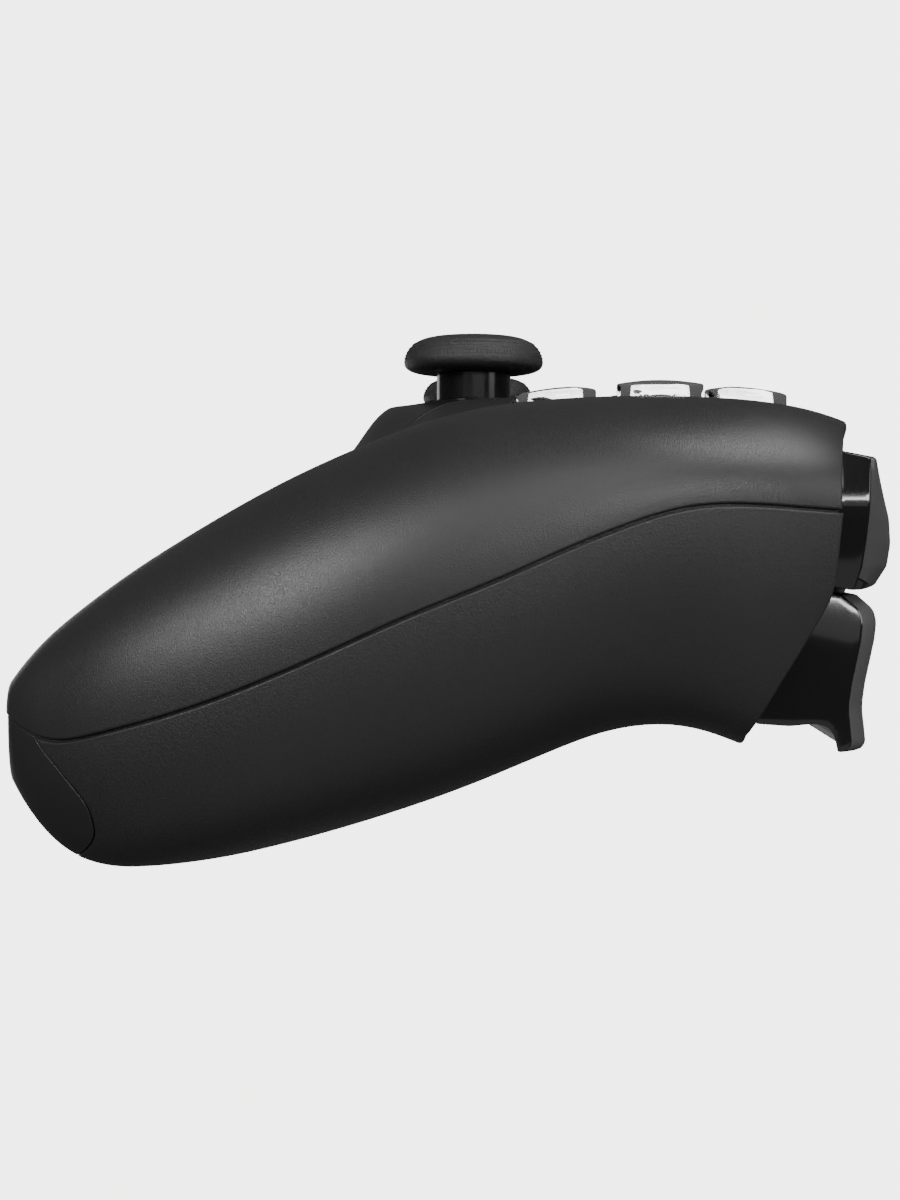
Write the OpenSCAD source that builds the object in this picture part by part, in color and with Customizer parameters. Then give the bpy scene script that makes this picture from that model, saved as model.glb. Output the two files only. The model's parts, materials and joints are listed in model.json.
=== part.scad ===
// Two-handed gamepad: shells, trim, thumbsticks, buttons, bumpers, triggers and what they hold inside.
// +X is the player's right, +Y points away from the player, +Z is out of the control face.
// The origin is under the middle of the object, at the height of the lowest point of the grips.

/* [Body] */
// Overall width across the grips
body_w = 160; // [154:1:168]
// Overall depth from grip tips to bumper fronts
body_d = 106; // [104:0.2:110]
// Height of the control face above the lowest point of the grips
face_z = 57.2; // [56:0.1:58]
// Wall thickness of the shells
wall = 2.2; // [1.8:0.1:2.6]
// Visible gap between neighbouring shells
shell_gap = 0.3; // [0.2:0.05:0.5]

/* [Thumbsticks] */
// Distance of each stick from the middle plane
stick_x = 31; // [30:0.5:32]
// Fore and aft place of the sticks
stick_y = 1.9; // [1:0.1:3]
// Radius of the rubber stick cap
stick_cap_r = 9.45; // [8.5:0.05:10]
// Height of the top of the stick caps
stick_top_z = 66.1; // [65:0.1:68]
// Radius of the stick stem
stick_stem_r = 5; // [4:0.1:5.5]
// Height of the tilt centre of the sticks
stick_pivot_z = 46.5; // [46:0.1:47]
// Radius of the dome under each stem
stick_dome_r = 13.2; // [13:0.1:13.4]
// Radius of the stick openings in the trim
stick_hole_r = 11; // [10.8:0.1:11.2]

/* [Buttons] */
// Distance of each button cluster from the middle plane
cluster_x = 47; // [46:0.5:48]
// Fore and aft place of the button clusters
cluster_y = 24.4; // [23.5:0.1:25]
// Distance from a cluster's middle to its buttons
cluster_r = 12; // [11.5:0.1:12.5]
// Radius of a face button
button_r = 5.15; // [4.6:0.05:5.4]
// Height of the top of the face buttons
button_top_z = 58; // [57.5:0.1:59]
// Clearance around moving buttons
button_gap = 0.3; // [0.25:0.05:0.4]
// Press travel of the face buttons and direction keys
button_travel = 0.9; // [0.5:0.1:1]

/* [Touchpad] */
// Width of the touchpad at its front edge
pad_front_w = 60; // [58:0.5:61]
// Width of the touchpad at its rear edge
pad_rear_w = 52; // [50:0.5:54]
// Rear edge of the touchpad
pad_rear_y = 15; // [14.5:0.1:16]
// Distance of the touchpad's front edge behind the bumper fronts
pad_front_back = 2.8; // [2.6:0.1:3.5]
// Width of the light guide strips beside the touchpad
light_w = 1.5; // [1:0.1:2]

/* [Triggers and bumpers] */
// Inner end of the bumpers and triggers
shoulder_in_x = 36; // [35.5:0.1:37]
// Distance of the bumpers' outer ends inside the widest point of the grips
bumper_inset = 14; // [13.5:0.5:15]
// Distance of the triggers' outer ends inside the bumpers' outer ends
trigger_inset = 3; // [2.5:0.5:5]
// Distance of the trigger pins behind the bumper fronts
trigger_pin_back = 13; // [12.5:0.1:13.5]
// Height of the trigger pins
trigger_pin_z = 32; // [31.5:0.1:32.5]
// Distance of the bumper pins behind the bumper fronts
bumper_pin_back = 10.5; // [10:0.1:11]
// Height of the bumper pins
bumper_pin_z = 45; // [44.5:0.1:45.5]
// Radius of the trigger and bumper pins
pin_r = 1.25; // [1:0.05:1.4]
// Running clearance of the pins, on the radius
pin_clear = 0.05; // [0.02:0.01:0.1]

/* [Hidden] */
half_w = body_w / 2;
front_y = body_d / 2;
rear_y = -body_d / 2;
crotch_y = -15;
pad_front_y = front_y - pad_front_back;
bumper_out_x = half_w - bumper_inset;
trigger_out_x = bumper_out_x - trigger_inset;
trigger_pin_y = front_y - trigger_pin_back;
bumper_pin_y = front_y - bumper_pin_back;
$fn = 32;

// Plan of the body: section lines run from the inner line to the outer line, from the middle to a grip tip.
grip_share = (crotch_y - rear_y) / 38;
side_share = half_w / 80;
inner_line = [
    for (p = [
        [0, 0], [12, 0.2], [23, 1.2], [30.5, 3.2], [35, 5.6], [38, 8.4], [40.3, 11.6], [42.2, 15.2],
        [44, 19.6], [46.3, 25.6], [49.6, 32.6], [55.5, 37.5],
    ]) [side_share * p[0], crotch_y - grip_share * p[1]],
];
outer_line = [
    [0, front_y], [17, front_y - 0.2], [33, front_y - 0.4], [half_w - 31, front_y],
    [half_w - 15.5, front_y - 1], [half_w - 5.6, front_y - 8.5], [half_w - 1.4, front_y - 24],
    [half_w, front_y - 43], [half_w - 1.2, rear_y + 42], [half_w - 4.5, rear_y + 25.9],
    [half_w - 9, rear_y + 11.9], [half_w - 16.5, rear_y + 0.5],
];
last = len(inner_line) - 1;

// Side profiles: height against the fore and aft place.
grip_top = [
    [rear_y, 20.5], [rear_y + 2.5, 24.9], [rear_y + 6.2, 28.6], [rear_y + 15.7, 35.7], [rear_y + 30, 44.3],
    [-11, face_z - 7.2], [0, face_z - 3.2], [12, face_z - 1.5], [front_y - 25, face_z - 1.4],
    [front_y - 13, face_z - 2.6], [front_y, face_z - 6.2],
];
centre_top = [
    [-34, 33], [-26, 40], [-19, 46.5], [-14.5, face_z - 5.8], [-11, face_z - 1.4], [-8, face_z - 0.2],
    [-4, face_z], [8, face_z], [front_y - 25, face_z - 0.8], [front_y - 9, face_z - 2.8],
    [front_y, face_z - 4.4],
];
grip_bottom = [
    [rear_y, 11.2], [rear_y + 2.4, 6.6], [rear_y + 5.7, 2.9], [rear_y + 10.5, 0.4], [rear_y + 15.3, 0],
    [rear_y + 25, 1.2], [rear_y + 34.4, 3.6], [-9, 6.6], [1, 10.2], [10, 14], [front_y - 36, 16.8],
    [front_y - 29, 17.8], [front_y - 23.5, 16.8], [front_y - 19, 14.8], [front_y, 8],
];
centre_bottom = [[-22, 17.5], [-5, 18], [12, 18.6], [front_y - 23, 20], [front_y, 24]];
outer_seam = [
    [rear_y, 18.8], [rear_y + 6.4, 15.8], [rear_y + 13, 17.1], [rear_y + 25, 20.7], [rear_y + 36.6, 25.4],
    [-5.4, 30.4], [5.2, 34.7], [16, 39.4], [front_y - 26.4, 42.6], [front_y - 10, 42], [front_y, 41.5],
];
inner_seam = [[rear_y, 18.8], [rear_y + 6, 19], [rear_y + 17, 22], [rear_y + 28, 28], [crotch_y, 32]];
blend_in_x = 36;
blend_out_x = 54;
roll_power = 2.2;
outer_roll = [[0, 9], [3, 10], [4, 12], [5, 18], [6, 25], [9, 20], [last, 9]];
inner_roll = [[0, 6], [2, 6], [4, 9], [6, 12], [9, 13], [last, 4]];

function clamp(v, low, high) = max(low, min(high, v));
function mix(a, b, u) = a + (b - a) * u;
function smooth(u) = let(v = clamp(u, 0, 1)) v * v * (3 - 2 * v);

// A smooth curve through [key, value] pairs.
function span_of(t, x, i = 0) = (i >= len(t) - 2 || x < t[i + 1][0]) ? i : span_of(t, x, i + 1);
function slope_at(t, i) =
    let(a = max(i - 1, 0), b = min(i + 1, len(t) - 1)) (t[b][1] - t[a][1]) / (t[b][0] - t[a][0]);
function curve(t, x) =
    let(v = clamp(x, t[0][0], t[len(t) - 1][0]), i = span_of(t, v), h = t[i + 1][0] - t[i][0])
    let(u = (v - t[i][0]) / h, w = 1 - u)
    t[i][1] * (1 + 2 * u) * w * w + t[i + 1][1] * u * u * (3 - 2 * u)
    + h * (slope_at(t, i) * u * w * w - slope_at(t, i + 1) * u * u * w);

// A smooth line through plan points; it leaves the middle plane square.
function tangent(p, i) =
    i == 0 ? [p[1][0], 0] : i == len(p) - 1 ? p[i] - p[i - 1] : (p[i + 1] - p[i - 1]) / 2;
function line_at(p, s) =
    let(i = min(floor(s), len(p) - 2), u = s - i, w = 1 - u)
    p[i] * (1 + 2 * u) * w * w + p[i + 1] * u * u * (3 - 2 * u)
    + tangent(p, i) * u * w * w - tangent(p, i + 1) * u * u * w;

// The outer surface of the body, and the same surface sunk by a depth.
function top_z(x, y) =
    let(u = smooth((abs(x) - blend_in_x) / (blend_out_x - blend_in_x)))
    mix(curve(centre_top, y), curve(grip_top, y), u);
function bottom_z(x, y) =
    let(u = smooth((abs(x) - blend_in_x) / (blend_out_x - blend_in_x)))
    mix(curve(centre_bottom, y), curve(grip_bottom, y), u);
function roll(d, r) = d >= r ? 1 : pow(1 - pow(1 - max(d, 0) / r, roll_power), 1 / roll_power);
function skin(s, t, up, depth, gap) =
    let(k = min(abs(s), last - (depth > 0 ? 0.25 : 0)))
    let(a = line_at(inner_line, k), b = line_at(outer_line, k))
    let(w = norm(b - a), d = depth + t * (w - 2 * depth), p = a + (b - a) * d / w)
    let(edge = mix(curve(inner_seam, a[1]), curve(outer_seam, b[1]), t) + (up ? gap : -gap))
    let(face = up ? top_z(p[0], p[1]) - depth : bottom_z(p[0], p[1]) + depth)
    let(ri = min(curve(inner_roll, k), 0.4 * w), ro = min(curve(outer_roll, k), 0.6 * w))
    let(f = roll(d - depth, ri) * roll(w - depth - d, ro))
    [s < 0 ? -p[0] : p[0], p[1], edge + (face - edge) * f];
function seam(s, t, depth, shift) =
    let(k = min(abs(s), last - (depth > 0 ? 0.25 : 0)))
    let(a = line_at(inner_line, k), b = line_at(outer_line, k))
    let(w = norm(b - a), p = a + (b - a) * (depth + t * (w - 2 * depth)) / w)
    [s < 0 ? -p[0] : p[0], p[1], mix(curve(inner_seam, a[1]), curve(outer_seam, b[1]), t) + shift];

rows = 52;
across = 10;
inner_rows = 35;
inner_across = 8;
function station(i, n) = last * (2 * i / n - 1);
function spread(j, n) = (1 - cos(180 * j / n)) / 2;

// Faces between rings of points; each ring is closed.
function ring_faces(count, ring) = [
    for (i = [0:count - 2], j = [0:ring - 1])
        let(a = i * ring + j, b = i * ring + (j + 1) % ring, c = a + ring, d = b + ring)
        each [[a, b, d], [a, d, c]],
];
function cap_faces(count, ring) = [
    [for (j = [0:ring - 1]) ring - 1 - j],
    [for (j = [0:ring - 1]) (count - 1) * ring + j],
];
function strip_caps(count, ring) = [
    for (j = [0:ring / 2 - 2])
        let(a = j, b = j + 1, c = ring - 2 - j, d = ring - 1 - j, e = (count - 1) * ring)
        each [[a, c, b], [a, d, c], [e + a, e + b, e + c], [e + a, e + c, e + d]],
];
module ringed(rings, strip = false) {
    n = len(rings[0]);
    m = len(rings);
    caps = strip ? strip_caps(m, n) : cap_faces(m, n);
    polyhedron([for (r = rings) each r], concat(ring_faces(m, n), caps), convexity = 8);
}

// The body above or below its seam, at a depth below its outer surface. It ends a gap short of the seam,
// or runs on through it by an amount.
module half_body(up, depth, gap, through = 0) {
    n = depth > 1 ? inner_rows : rows;
    m = depth > 1 ? inner_across : across;
    shift = through > 0 ? -through : gap;
    first = through > 0 ? 0 : 1;
    ringed([
        for (i = [0:n])
            let(s = station(i, n))
            let(arc = [for (j = [0:m]) skin(s, spread(j, m), up, depth, gap)])
            let(flat = [for (j = [first:m - first]) seam(s, spread(j, m), depth, up ? shift : -shift)])
            up ? concat(arc, reversed(flat)) : concat(flat, reversed(arc)),
    ], true);
}
function reversed(list) = [for (i = [len(list) - 1:-1:0]) list[i]];

// One half of the hollow body.
module half_wall(up) {
    difference() {
        half_body(up, 0, shell_gap / 2);
        half_body(up, wall, 0, 6);
    }
}

// Height of the control face over a plan point.
function line_x(y, s) =
    let(a = line_at(inner_line, s), b = line_at(outer_line, s))
    a[0] + (b[0] - a[0]) * (y - a[1]) / (b[1] - a[1]);
function find_s(x, y, low, high, n) =
    let(m = (low + high) / 2, under = line_x(y, m) < x)
    n == 0 ? m : under ? find_s(x, y, m, high, n - 1) : find_s(x, y, low, m, n - 1);
function face_at(x, y) =
    let(s = find_s(abs(x), y, 0, 7, 22), a = line_at(inner_line, s), b = line_at(outer_line, s))
    skin(s, (y - a[1]) / (b[1] - a[1]), true, 0, shell_gap / 2)[2];

// Plan edge of the centre trim, from the middle to a grip tip.
pad_edge_y = pad_rear_y - shell_gap / 2;
trim_line = [
    [0, pad_edge_y], [13, pad_edge_y], [pad_rear_w / 2, pad_edge_y], [pad_rear_w / 2 + 7, pad_edge_y + 1],
    [stick_x + 8, stick_y + 10.1], [stick_x + 12.5, stick_y + 3.1], [stick_x + 14.5, stick_y - 5.9],
    [half_w - 33.4, crotch_y + 1], [half_w - 32, rear_y + 27], [half_w - 29.8, rear_y + 15],
    [half_w - 26, rear_y + 5], [half_w - 21, rear_y - 1],
];
trim_steps = 31;
trim_edge = [for (i = [0:trim_steps]) line_at(trim_line, i * (len(trim_line) - 1) / trim_steps)];

// Side outline of the cut that makes room for a bumper and a trigger: [y, z] pairs going up.
bay_line = [
    for (p = [[19.8, 10], [19, 14.7], [12.1, 26.3], [7.9, 33.4], [7, 41.7], [6.7, 60]])
        [front_y - p[0], p[1]],
];
bay_in_x = shoulder_in_x - 0.4;
bay_lean = 0.05;
frame_in_x = shoulder_in_x - 2.1;
frame_out_x = bumper_out_x - 0.1;
cheek = 1.5;

// Places of pillars between the shells: [x, y, joint height, height of the screw head's seat].
pillars = [[half_w - 16.5, 4, 34, 20], [half_w - 20.5, rear_y + 17, 20, 8]];
pillar_sides = 24;
tray_pillars = [[22.4, -3.3], [22.4, front_y - 12.8]];
tray_z = 33.6;
tray_top_z = 35.2;
board_z = 38;
board_top_z = 39.6;
motor_at = [half_w - 21.5, rear_y + 33, 12];
trim_post = [9, -3.5];
home_at = [0, 3.6];
mute_at = [0, -4.8];
menu_at = [37.2, front_y - 14];
jack_z = 27;
usb_z = 36.4;

// Helpers
module sided(side) {
    if (side < 0) mirror([1, 0, 0]) children();
    else children();
}

module both() {
    children();
    mirror([1, 0, 0]) children();
}

module along_x(x0, x1, r, y, z) {
    translate([x0, y, z]) rotate([0, 90, 0]) cylinder(h = x1 - x0, r = r);
}

module block(x0, x1, y0, y1, z0, z1) {
    translate([x0, y0, z0]) cube([x1 - x0, y1 - y0, z1 - z0]);
}

// The room that a stick's dome sweeps.
module dome_room() {
    hull() for (drop = [0, 0.6])
        translate([stick_x, stick_y, stick_pivot_z - drop]) sphere(r = stick_dome_r + 0.4, $fn = 44);
}

module pillar(at, top, r) {
    translate([at[0], at[1], -5]) cylinder(h = top + 5, r = r, $fn = pillar_sides);
}

// A hole with rounded ends, from one plan point to another.
module slot_hole(a, b, r, z0, z1) {
    hull() {
        translate([a[0], a[1], z0]) cylinder(h = z1 - z0, r = r, $fn = 40);
        translate([b[0], b[1], z0]) cylinder(h = z1 - z0, r = r, $fn = 40);
    }
}

module trim_region(grow) {
    other = [for (i = [trim_steps:-1:1]) [-trim_edge[i][0], trim_edge[i][1]]];
    far = [trim_edge[trim_steps][0], rear_y - 17];
    points = concat(trim_edge, [far, [-far[0], far[1]]], other);
    translate([0, 0, -5]) linear_extrude(75) offset(delta = grow) polygon(points);
}

// The grip tips, behind a leaning plane.
module tip_region(grow) {
    rotate([90, 0, 90]) translate([0, 0, -90]) linear_extrude(180)
        polygon([
            [rear_y - 17, -10], [rear_y + 12.9 + grow, -10], [rear_y + 2.9 + grow, 30], [rear_y - 17, 30],
        ]);
}

// The room in front of the shells for a bumper and a trigger, on both sides, moved back by an amount.
module bay_room(back, x0, x1) {
    points = concat([for (p = bay_line) p - [back, 0]], [[front_y + 27, 60], [front_y + 27, 10]]);
    both() ringed([
        for (x = [x0, x1]) [for (p = points) [x, p[0] - bay_lean * (x - bay_in_x), p[1]]],
    ]);
}

// Skins that close the open ends of that room.
module bay_ends(up) {
    intersection() {
        half_body(up, 0.7, shell_gap / 2 + 0.2);
        union() {
            difference() {
                bay_room(1.8, bumper_out_x + 0.7, 90);
                bay_room(0, bumper_out_x + 0.6, 91);
            }
            both() block(bay_in_x - 1.7, bay_in_x, front_y - 8.1, front_y + 17, -5, 70);
        }
    }
}

module pad_region(grow) {
    rear = pad_rear_w / 2 + light_w + 0.3 + grow;
    front = pad_front_w / 2 + light_w + 0.3 + grow;
    edge = pad_front_y + grow;
    back = pad_rear_y - grow;
    translate([0, 0, 40]) linear_extrude(30)
        polygon([[-rear, back], [rear, back], [front, edge], [-front, edge]]);
}

// A slab that follows the control face over a four-sided plan.
module face_patch(rear, front, y_rear, y_front, top, thick, nu, nv) {
    ringed([
        for (i = [0:nv])
            let(y = mix(y_rear, y_front, i / nv), low = mix(rear[0], front[0], i / nv))
            let(high = mix(rear[1], front[1], i / nv)) [
                for (j = [0:nu]) let(x = mix(high, low, j / nu)) [x, y, face_at(x, y) + top],
                for (j = [0:nu]) let(x = mix(low, high, j / nu)) [x, y, face_at(x, y) + top - thick],
            ],
    ], true);
}

face_steps = [[0, 1], [1, 0], [0, -1], [-1, 0]];
function face_place(k) = [cluster_x, cluster_y] + cluster_r * face_steps[k];

// Shells
module front_shell() {
    color("dimgray") render() difference() {
        union() {
            difference() {
                union() {
                    half_wall(true);
                    bay_ends(true);
                }
                trim_region(shell_gap / 2);
                pad_region(0.3);
            }
            intersection() {
                half_body(true, 0.8, 0, 6);
                both() for (p = pillars) translate([p[0], p[1], p[2]])
                    cylinder(h = 60, r = 3, $fn = pillar_sides);
            }
        }
        bay_room(0, bay_in_x, 90);
        for (k = [0:3]) slot_hole(face_place(k), face_place(k), button_r + button_gap, 45, 65);
        for (k = [0:3]) translate([-cluster_x, cluster_y, 45]) rotate(90 * k) linear_extrude(20)
            offset(delta = button_gap) key_outline();
        both() slot_hole(menu_at - [0, 2], menu_at + [0, 2], 1.3 + button_gap, 45, 65);
        both() for (p = pillars) slot_hole(p, p, 1.35, 0, p[2] + 8);
    }
}

module rear_shell() {
    color("dimgray") render() difference() {
        union() {
            difference() {
                union() {
                    half_wall(false);
                    bay_ends(false);
                }
                tip_region(shell_gap / 2);
            }
            intersection() {
                half_body(false, 0.8, 0, 6);
                both() {
                    for (p = pillars) pillar(p, p[2], 3);
                    for (p = tray_pillars) pillar(p, tray_z, 2.2);
                    pillar(motor_at, motor_at[2], 4);
                }
            }
        }
        bay_room(0, bay_in_x, 90);
        both() block(bay_in_x, trigger_out_x + 0.8, front_y - 19.6, front_y + 7, 3, 30);
        both() for (p = pillars) {
            slot_hole(p, p, 1.5, -5, 60);
            slot_hole(p, p, 2.5, -5, p[3]);
        }
        translate([0, crotch_y, jack_z]) rotate([90, 0, 0]) slot_hole([0, 0], [0, 0], 3.3, -8, 6);
        translate([0, front_y, usb_z]) rotate([90, 0, 0]) slot_hole([-3.2, 0], [3.2, 0], 2, -6, 6);
    }
}

module centre_trim() {
    color("black") render() difference() {
        union() {
            intersection() {
                half_wall(true);
                trim_region(-shell_gap / 2);
            }
            intersection() {
                half_wall(false);
                tip_region(-shell_gap / 2);
            }
            both() translate([half_w - 25.4, rear_y + 2.4, 16]) cylinder(h = 4.4, r = 0.8);
            intersection() {
                half_body(true, 0.8, 0, 6);
                both() translate([trim_post[0], trim_post[1], tray_top_z]) cylinder(h = 30, r = 2);
            }
        }
        both() slot_hole([stick_x, stick_y], [stick_x, stick_y], stick_hole_r, 45, 65);
        both() dome_room();
        slot_hole(home_at, home_at, 4.2 + button_gap, 45, 65);
        slot_hole(mute_at - [3, 0], mute_at + [3, 0], 1.2 + button_gap, 45, 65);
        for (x = [-5:2:5]) slot_hole([x, 10.2], [x, 11.4], 0.5, 50, 65);
    }
}

module touchpad() {
    rear = pad_rear_w / 2;
    front = pad_front_w / 2;
    color("black") face_patch([-rear, rear], [-front, front], pad_rear_y, pad_front_y, 0, 1.8, 14, 14);
}

module light_guide(side) {
    rear = pad_rear_w / 2 + 0.3;
    front = pad_front_w / 2 + 0.3;
    color("white") sided(side) {
        face_patch(
            [rear, rear + light_w], [front, front + light_w], pad_rear_y, pad_front_y, -0.2, 1.8, 1, 14);
        for (y = [21, 33]) {
            x = mix(rear, front, (y - pad_rear_y) / (pad_front_y - pad_rear_y)) + light_w / 2;
            translate([x, y, board_top_z]) cylinder(h = face_at(28, y) - 1 - board_top_z, r = 0.6);
        }
    }
}
module left_light_guide() light_guide(-1);
module right_light_guide() light_guide(1);

// Buttons
module turned(points) {
    rotate_extrude($fn = 48) polygon(points);
}

module face_button(k) {
    place = face_place(k);
    r = button_r;
    top = button_top_z;
    color("gainsboro") translate([place[0], place[1], 0]) turned([
        [0, 50.2], [r + 0.75, 50.2], [r + 0.75, 51.4], [r, 51.4], [r, top - 0.8], [r - 0.25, top - 0.35],
        [r - 0.8, top - 0.1], [r - 1.6, top], [0, top],
    ]);
}
module face_button_north() face_button(0);
module face_button_east() face_button(1);
module face_button_south() face_button(2);
module face_button_west() face_button(3);

module key_outline() {
    polygon([[2.6, 0], [6.2, -3.8], [13, -4.2], [13.8, -3.4], [13.8, 3.4], [13, 4.2], [6.2, 3.8]]);
}

module key(k) {
    color("gainsboro") translate([-cluster_x, cluster_y, 0]) rotate(90 * k) {
        translate([0, 0, 50.8]) linear_extrude(button_top_z - 51.3) key_outline();
        translate([0, 0, 50.2]) linear_extrude(1.2)
            polygon([[1.9, 0], [5.9, -4.5], [14.5, -4.9], [14.5, 4.9], [5.9, 4.5]]);
    }
}
module key_right() key(0);
module key_up() key(1);
module key_left() key(2);
module key_down() key(3);

// An upright bar with round ends.
module bar(a, b, r, z0, z1) {
    translate([a[0], a[1], z0]) cylinder(h = z1 - z0, r = r);
    translate([b[0], b[1], z0]) cylinder(h = z1 - z0, r = r);
    if (a[0] == b[0]) block(a[0] - r, a[0] + r, a[1], b[1], z0, z1);
    else block(a[0], b[0], a[1] - r, a[1] + r, z0, z1);
}

menu_top_z = face_at(menu_at[0], menu_at[1]) + 0.7;
module menu_button(side) {
    color("dimgray") sided(side) {
        bar(menu_at - [0, 2], menu_at + [0, 2], 1.3, 50.4, menu_top_z);
        bar(menu_at - [0, 2], menu_at + [0, 2], 2, 50.4, 51.4);
    }
}
module left_menu_button() menu_button(-1);
module right_menu_button() menu_button(1);

module home_button() {
    top = face_z + 0.5;
    color("dimgray") translate([home_at[0], home_at[1], 0]) turned([
        [0, 51.2], [5, 51.2], [5, 52.2], [4.2, 52.2], [4.2, top - 0.5], [3.9, top - 0.1], [3.4, top],
        [0, top],
    ]);
}

module mute_button() {
    color("dimgray") {
        bar(mute_at - [3, 0], mute_at + [3, 0], 1.2, 51.2, face_z + 0.4);
        bar(mute_at - [3, 0], mute_at + [3, 0], 1.9, 51.2, 52.2);
    }
}

// Thumbsticks, built about the tilt centre
module stick_place(side) {
    translate([side * stick_x, stick_y, stick_pivot_z]) children();
}

cap_h = stick_top_z - stick_pivot_z;
module stick_cap(side) {
    r = stick_cap_r;
    color("black") stick_place(side) turned([
        [2.4, cap_h - 4.5], [r - 1.4, cap_h - 4.5], [r - 0.45, cap_h - 4], [r, cap_h - 2.8],
        [r - 0.1, cap_h - 2.1], [r - 0.65, cap_h - 1.2], [r - 1.5, cap_h - 0.4], [r - 2.6, cap_h],
        [r - 3.4, cap_h - 0.1], [r - 4.6, cap_h - 0.7], [r - 6.6, cap_h - 1.1], [0, cap_h - 1.2],
        [0, cap_h - 2.4], [2.4, cap_h - 2.4],
    ]);
}
module left_stick_cap() stick_cap(-1);
module right_stick_cap() stick_cap(1);

module stick_stem(side) {
    r = stick_dome_r;
    foot = sqrt(r * r - stick_stem_r * stick_stem_r);
    inner = r - 1;
    color("black") stick_place(side) {
        turned(concat(
            [[0, 0], [1.9, 0], [1.9, inner * cos(asin(1.9 / inner))]],
            [for (a = [14:10:64]) inner * [sin(a), cos(a)]],
            [for (a = [64:-8:24]) r * [sin(a), cos(a)]],
            [[stick_stem_r, foot], [stick_stem_r, cap_h - 4.5]],
            [[2.4, cap_h - 4.5], [2.4, cap_h - 2.4], [0, cap_h - 2.4]]));
        rotate([90, 0, 0]) translate([0, 0, -4.7]) cylinder(h = 9.4, r = 0.9);
        sphere(r = 1.9);
    }
}
module left_stick_stem() stick_stem(-1);
module right_stick_stem() stick_stem(1);

// Ring that turns about X in the carriage and carries the stem's cross pin along Y.
module cross_ring(side) {
    color("silver") stick_place(side) difference() {
        union() {
            block(-5, 5, -4.9, 4.9, -1.5, 1.5);
            along_x(-6.4, 6.4, 0.9, 0, 0);
        }
        block(-3.8, 3.8, -3.6, 3.6, -3, 3);
        rotate([90, 0, 0]) translate([0, 0, -8]) cylinder(h = 16, r = 0.9 + pin_clear);
    }
}
module left_cross_ring() cross_ring(-1);
module right_cross_ring() cross_ring(1);

// Arch that turns about Y in the carriage, pushed by the stem through its slot.
module arch(side) {
    color("silver") stick_place(side) {
        difference() {
            rotate([0, 90, 0]) translate([0, 0, -2.8]) difference() {
                cylinder(h = 5.6, r = 8.3);
                translate([0, 0, -1]) cylinder(h = 8, r = 7.1);
                translate([1.6, -10, -1]) cube([10, 20, 8]);
            }
            block(-2.1, 2.1, -4.4, 4.4, 3, 12);
        }
        for (t = [-1, 1]) rotate([90, 0, 0]) translate([0, 0, t * 6.5 - 1.2]) cylinder(h = 2.4, r = 0.9);
    }
}
module left_arch() arch(-1);
module right_arch() arch(1);

module stick_carriage(side) {
    color("dimgray") stick_place(side) difference() {
        block(-6.6, 6.6, -6.6, 6.6, -2.6, 1.9);
        block(-5.3, 5.3, -5.2, 5.2, -4, 3);
        along_x(-8, 8, 0.9 + pin_clear, 0, 0);
        rotate([90, 0, 0]) translate([0, 0, -8]) cylinder(h = 16, r = 0.9 + pin_clear);
    }
}
module left_stick_carriage() stick_carriage(-1);
module right_stick_carriage() stick_carriage(1);

module stick_base(side) {
    low = board_top_z - stick_pivot_z;
    color("dimgray") stick_place(side) {
        difference() {
            block(-8.2, 8.2, -6.6, 6.6, low, -0.6);
            block(-6.75, 6.75, -8, 8, low + 1.4, 3);
        }
        block(8.2, 11.4, -4, 4, low, -0.6);
        block(-4, 4, -12, -8.9, low, -1.6);
        block(-2, 2, -8.9, -6.6, low, low + 1.4);
    }
}
module left_stick_base() stick_base(-1);
module right_stick_base() stick_base(1);

// Shoulder buttons
function bumper_front(x) = front_y - pow((x - shoulder_in_x) / (bumper_out_x - shoulder_in_x), 4) * 4.2;
bumper_section = [
    [0, 49.4], [0.46, 49], [0.72, 48.3], [0.86, 47], [0.97, 43], [1, 38.9], [0.96, 36.6], [0.78, 34.1],
    [0.42, 32.9], [0, 33.5],
];
function bumper_back(x) = front_y - 6.3 - bay_lean * (x - shoulder_in_x);
bumper_stops = [0, 0.022, 0.1, 0.2, 0.3, 0.4, 0.5, 0.6, 0.7, 0.8, 0.9, 0.978, 1];
module bumper(side) {
    color("dimgray") sided(side) difference() {
        union() {
            ringed([
                for (u = bumper_stops) let(x = mix(shoulder_in_x, bumper_out_x, u), f = bumper_front(x)) [
                    for (p = bumper_section)
                        let(in = (u == 0 || u == 1) ? 0.6 : 0)
                        [x, mix(bumper_back(x), f - in, p[0]), p[1] > 40 ? p[1] - in * 0.8 : p[1] + in * 0.8],
                ],
            ]);
            for (x = [shoulder_in_x + 4, bumper_out_x - 6]) {
                block(x, x + 2, bumper_pin_y, bumper_back(x) + 0.6, bumper_pin_z - 1.9, bumper_pin_z + 1.9);
                along_x(x, x + 2, 2.1, bumper_pin_y, bumper_pin_z);
            }
        }
        along_x(frame_in_x, frame_out_x, pin_r + pin_clear, bumper_pin_y, bumper_pin_z);
    }
}
module left_bumper() bumper(-1);
module right_bumper() bumper(1);

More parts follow.
